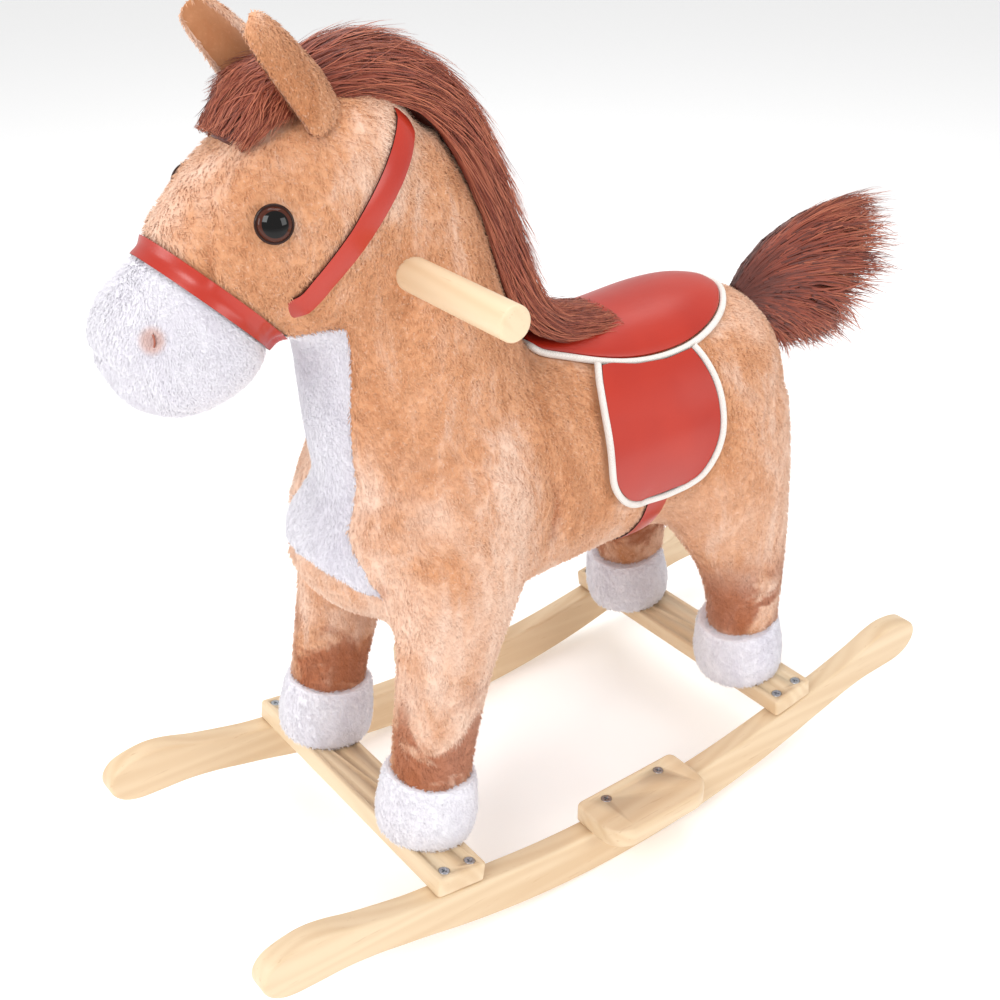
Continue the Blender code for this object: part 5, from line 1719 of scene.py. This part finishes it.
class HORSE_OT_hair(Operator):
    """Mane, forelock and tail in long chestnut pile"""

    bl_idname = "horse.hair"
    bl_label = "Mane, forelock and tail"

    def execute(self, context):
        sizes = context.scene.horse_sizes
        hair = chestnut_hair()
        mane = combed("mane_hair", MANE, sizes.mane_strands, 0.24, hair, 71)
        # Dark under-layers of painted shade below the mane and forelock.
        mane_shade_bed = shade_bed("mane_shade_bed", MANE, 0.55, hair)
        place_all(mane, mane_shade_bed, slot="chestnut_pile")
        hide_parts("mane")
        lock = combed("forelock_hair", FORELOCK, 2600, 0.50, hair, 72, locks=30, start=0.60)
        lock_shade_bed = shade_bed("forelock_shade_bed", FORELOCK, 0.50, hair)
        place_all(lock, lock_shade_bed, slot="chestnut_pile")
        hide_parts("forelock")
        tail, tail_shade_bed = self.tail(sizes.tail_strands, hair)
        place_all(tail, tail_shade_bed, body="tail", slot="chestnut_pile")
        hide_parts("tail")
        return {"FINISHED"}

    def tail_path(self, v, w, u):
        """A point u along the tail's hair; v runs from its lower edge to its upper one, w across it."""
        root = np.array((0, 0.205, 0.392)) + np.array((0, -0.001, 0.012)) * (v[..., None] - 0.5)
        low_mid, top_mid = np.array((0, 0.246, 0.366)), np.array((0, 0.262, 0.466))
        low_end, top_end = np.array((0, 0.298, 0.316)), np.array((0, 0.404, 0.426))
        middle = low_mid + (top_mid - low_mid) * v[..., None]
        bulge = np.array((0, 0.020, -0.012)) * (4 * v * (1 - v))[..., None]
        end = low_end + (top_end - low_end) * v[..., None] + bulge
        s = u[..., None]
        at = root * (1 - s) ** 2 + middle * 2 * s * (1 - s) + end * s ** 2
        spread = (0.039 * np.minimum(1.0, 0.22 + 1.15 * u)
                  * np.sqrt(np.maximum(0.05, 1 - (2 * v - 1) ** 2 * 0.85)))
        at[..., 0] += w * spread
        return at

    def tail(self, count, hair):
        rng = np.random.default_rng(73)
        locks = 150
        lock_v, lock_w, lock_far = (rng.random(locks), rng.uniform(-1, 1, locks),
                                    rng.uniform(0.86, 1.03, locks))
        pick = rng.integers(0, locks, count)
        u = np.linspace(0, 1, 10)[None, :]
        pull = rng.choice((0.30, 0.60, 0.92), count)[:, None] * u ** 1.4
        v0 = lock_v[pick] + rng.normal(0, 0.12, count)
        w0 = lock_w[pick] + rng.normal(0, 0.30, count)
        start = rng.uniform(0, 0.55, count) * (rng.random(count) < 0.75)
        far = np.maximum(lock_far[pick] * rng.uniform(0.84, 1.0, count)
                         * (1 - 0.42 * rng.random(count) ** 3), start + 0.3)
        flare = 1 + 0.16 * (rng.random(count) ** 2)[:, None] * u ** 2
        v = v0[:, None] + (lock_v[pick] - v0)[:, None] * pull
        w = w0[:, None] + (lock_w[pick] - w0)[:, None] * pull
        v = 0.5 + (np.clip(v, -0.03, 1.03) - 0.5) * flare
        w = np.clip(w, -1.05, 1.05) * flare
        reach = start[:, None] + (far - start)[:, None] * u
        paths = self.tail_path(v, w, reach)
        paths += rng.normal(0, 0.0005, paths.shape)
        ref = np.zeros_like(paths)
        ref[..., 0] = w
        ref[..., 2] = 0.35 * (2 * v - 1) + 0.2
        widths = 0.0019 * rng.uniform(0.6, 1.3, count)
        tail = strands("tail_hair", paths, widths, ref, hair, rng)
        # The tail's dark under-layer of painted shade.
        loops = []
        for reach in steps(0.02, 0.78, 20):
            turns = np.linspace(0, 2 * math.pi, 24, endpoint=False)
            shrink = 0.55 * min(1.0, 6 * (0.84 - reach))
            ring = self.tail_path(0.5 + 0.5 * shrink * np.sin(turns), shrink * np.cos(turns),
                                  np.full(24, reach))
            loops.append([Vector(p) for p in ring])
        bm = bmesh.new()
        stack(bm, loops)
        return tail, add("tail_shade_bed", to_mesh(bm), hair)


class HORSE_OT_saddle(Operator):
    """The padded seat, the two flaps with their piping, and the girth"""

    bl_idname = "horse.saddle"
    bl_label = "Saddle and girth"

    def execute(self, context):
        seat, piping = saddle_seat()
        place_all(seat, slot="brick_leather")
        place_all(piping, slot="white_piping")
        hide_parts("saddle_seat")
        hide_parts("saddle_seat_piping")
        for side, name in ((1, "left"), (-1, "right")):
            flap, edging = saddle_flap(side, name)
            place_all(flap, body=f"flap_{name}", slot="brick_leather")
            place_all(edging, body=f"flap_{name}", slot="white_piping")
            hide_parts(f"saddle_flap_{name}")
            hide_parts(f"saddle_flap_piping_{name}")
        strap = girth()
        place_all(strap, slot="brick_leather")
        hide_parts("girth")
        return {"FINISHED"}


def saddle_seat():
    rows, cols = 44, 30
    top, low = [], []
    for i in range(rows + 1):
        y, w = catmull(SEAT, i / rows)
        top_row, low_row = [], []
        for across in steps(-1, 1, cols):
            edge = min(1.0, 2.6 * (1 - abs(across)))
            fore = min(1.0, min(i, rows - i) / (rows * 0.20))
            pad = 0.0030 + 0.0034 * math.sqrt(max(0.0, edge * fore)) * (0.80 + 0.20 * math.cos(across * 2))
            low_row.append(barrel_point(y, across * w, 0.0020))
            top_row.append(barrel_point(y, across * w, 0.0020 + pad))
        top.append(top_row)
        low.append(low_row)
    seat = shell("seat_leather", top, low, brick_leather(), cut_edge())
    settle = seat.modifiers.new("settle", "SMOOTH")
    settle.factor = 0.5
    settle.iterations = 4
    mesh = evaluated(seat)
    mesh.materials.append(brick_leather())
    mesh.materials.append(cut_edge())
    drop(seat)
    seat = add("seat_leather", mesh)
    half = [catmull(SEAT, t) for t in steps(0, 1, 60)]
    rim = [(y, math.radians(w) * BODY_RADIUS) for y, w in half]
    rim += [(SEAT[-1][0], 0)] + [(y, -s) for y, s in reversed(rim)]
    rim = outward(rim, PIPING_RADIUS + 0.0005)
    path = [barrel_point(y, math.degrees(s / BODY_RADIUS), 0.0036) for y, s in rim]
    piping = add("seat_piping", tube(evened(path), PIPING_RADIUS, 12, True), white_tape())
    return seat, piping


def below_seat(y, angle):
    """Moves the flap's upper part so that its top edge follows the seat's edge."""
    seat = np.interp(y, [place for place, _ in SEAT], [half for _, half in SEAT])
    top = max(float(seat) + 4.0, 33.5)
    return angle + (top - FLAP[0][0]) * max(0.0, 1 - (angle - FLAP[0][0]) / 34) ** 1.5


def saddle_flap(side, name):
    rows, cols = 34, 26
    top, low = [], []
    for i in range(rows + 1):
        angle, front, rear = catmull(FLAP, i / rows)
        ys = steps(front, rear, cols)
        low.append([barrel_point(y, below_seat(y, angle), 0.0046, side) for y in ys])
        top.append([barrel_point(y, below_seat(y, angle), 0.0064, side) for y in ys])
    flap = shell(f"flap_leather_{name}", top, low, brick_leather(), cut_edge())
    edge = [catmull(FLAP, t) for t in steps(0, 1, 40)]
    outline = [(front, math.radians(a) * BODY_RADIUS) for a, front, rear in edge]
    bottom = math.radians(FLAP[-1][0]) * BODY_RADIUS
    outline += [(y, bottom + 0.0016 * (1 - (2 * k / 11 - 1) ** 2)) for k, y in
                enumerate(steps(FLAP[-1][1], FLAP[-1][2], 12)[1:-1])]
    outline += [(rear, math.radians(a) * BODY_RADIUS) for a, front, rear in reversed(edge)]
    outline = outward(outline, PIPING_RADIUS + 0.0006)
    path = [barrel_point(y, below_seat(y, math.degrees(s / BODY_RADIUS)), 0.0062, side) for y, s in outline]
    inner = path[1:-1]
    path[1:-1] = [(path[k] + p * 2 + path[k + 2]) / 4 for k, p in enumerate(inner)]
    edging = add(f"flap_piping_{name}", tube(path, PIPING_RADIUS), white_tape())
    return flap, edging


def girth():
    centre = Vector((0, 0.048, BARREL_AXIS_Z))

    def point(angle, shift, lift):
        q = math.radians(angle)
        out = Vector((math.cos(q), 0, math.sin(q)))
        return on_skin(centre + Vector((0, shift, 0)), out) + out * lift

    top, low = strap_grid(point, steps(12, -192, 90), GIRTH_WIDTH, lambda angle: GIRTH_LIFT)
    return shell("girth_leather", top, low, brick_leather(), cut_edge())


class HORSE_OT_bridle(Operator):
    """Noseband and headstall with their capped rivets"""

    bl_idname = "horse.bridle"
    bl_label = "Bridle"

    def execute(self, context):
        nose, cheek = noseband(), headstall()
        place_all(nose, cheek, slot="brick_leather")
        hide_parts("noseband")
        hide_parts("headstall")
        for side, name in ((1, "left"), (-1, "right")):
            self.rivet(side, name)
        return {"FINISHED"}

    def rivet(self, side, name):
        angle = STRAP_END + 6 if side > 0 else 180 - STRAP_END - 6

        def spot(turn, shift):
            lift = cheek_lift(angle) + STRAP_THICK
            return band_point(CHEEK_CENTRE, CHEEK_AXIS, angle + turn, shift + cheek_shift(angle), lift)

        out = (spot(4, 0) - spot(-4, 0)).cross(spot(0, 0.006) - spot(0, -0.006)).normalized()
        out = out if out.x * side > 0 else -out
        profile = [(0, -0.0040), (0.0018, -0.0040), (0.0018, -0.0002), (0.0046, -0.0002), (0.0048, 0.0006)]
        profile += [(0.0046 * math.cos(q), 0.0009 + 0.0018 * math.sin(q)) for q in steps(0, math.pi / 2, 8)]
        profile[-1] = (0, 0.0027)
        made = add(f"rivet_cap_{name}", turned(profile, 40, facing(spot(0, 0), out)), enamel())
        place_all(made, slot="rivet_enamel")
        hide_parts(f"rivet_{name}")


def noseband():
    def point(angle, shift, lift):
        return band_point(NOSE_CENTRE, NOSE_AXIS, angle, shift - 0.0022, lift)

    top, low = strap_grid(point, steps(0, 360, 120)[:-1], NOSEBAND_WIDTH, lambda angle: STRAP_LIFT)
    return shell("noseband_leather", top, low, brick_leather(), cut_edge(), True)


def headstall():
    def point(angle, shift, lift):
        return band_point(CHEEK_CENTRE, CHEEK_AXIS, angle, shift + cheek_shift(angle), lift)

    top, low = strap_grid(point, steps(STRAP_END, 180 - STRAP_END, 130), STRAP_WIDTH, cheek_lift)
    return shell("headstall_leather", top, low, brick_leather(), cut_edge())


def covers():
    """What lies on the plush, for keeping the pile out from under it. Made once, before the pieces move."""
    if "covers" in MADE:
        return MADE["covers"]
    rough = [noseband(), headstall(), girth(), *saddle_seat()]
    for side, name in ((1, "left"), (-1, "right")):
        rough += list(saddle_flap(side, name))
    found = []
    for obj in rough:
        low = [min(v.co[k] for v in obj.data.vertices) for k in range(3)]
        high = [max(v.co[k] for v in obj.data.vertices) for k in range(3)]
        found.append({"tree": tree_of(obj.data), "corners": (low, high)})
        drop(obj)
    for name in ("handle_dowel", "eye_left", "eye_right"):
        mesh = NODES[name].data.copy()
        mesh.transform(Matrix.Translation(-SHIFT))
        low, high = ([corner[k] - SHIFT[k] for k in range(3)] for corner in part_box(name))
        found.append({"tree": tree_of(mesh), "corners": (low, high)})
    MADE["covers"] = found
    return found


class HORSE_PT_panel(Panel):
    """Builds and colours the rocking horse"""

    bl_label = "Rocking horse"
    bl_idname = "HORSE_PT_panel"
    bl_space_type = "VIEW_3D"
    bl_region_type = "UI"
    bl_category = "Horse"

    def draw(self, context):
        for step in OPERATORS:
            self.layout.operator(step.bl_idname)
        for group in (context.scene.horse_sizes, context.scene.horse_colours):
            box = self.layout.box()
            for key in group.__annotations__:
                box.prop(group, key)


OPERATORS = (HORSE_OT_stage, HORSE_OT_rockers, HORSE_OT_handle, HORSE_OT_screws, HORSE_OT_coat,
             HORSE_OT_white_plush, HORSE_OT_hooves, HORSE_OT_ears, HORSE_OT_eyes, HORSE_OT_hair,
             HORSE_OT_saddle, HORSE_OT_bridle)
CLASSES = (HorseColours, HorseSizes, *OPERATORS, HORSE_PT_panel)


def register():
    for cls in CLASSES:
        bpy.utils.register_class(cls)
    bpy.types.Scene.horse_colours = PointerProperty(type=HorseColours)
    bpy.types.Scene.horse_sizes = PointerProperty(type=HorseSizes)


def unregister():
    del bpy.types.Scene.horse_sizes
    del bpy.types.Scene.horse_colours
    for cls in reversed(CLASSES):
        bpy.utils.unregister_class(cls)


def main():
    register()
    for step in OPERATORS:
        group, name = step.bl_idname.split(".")
        getattr(getattr(bpy.ops, group), name)()


if __name__ == "__main__":
    main()
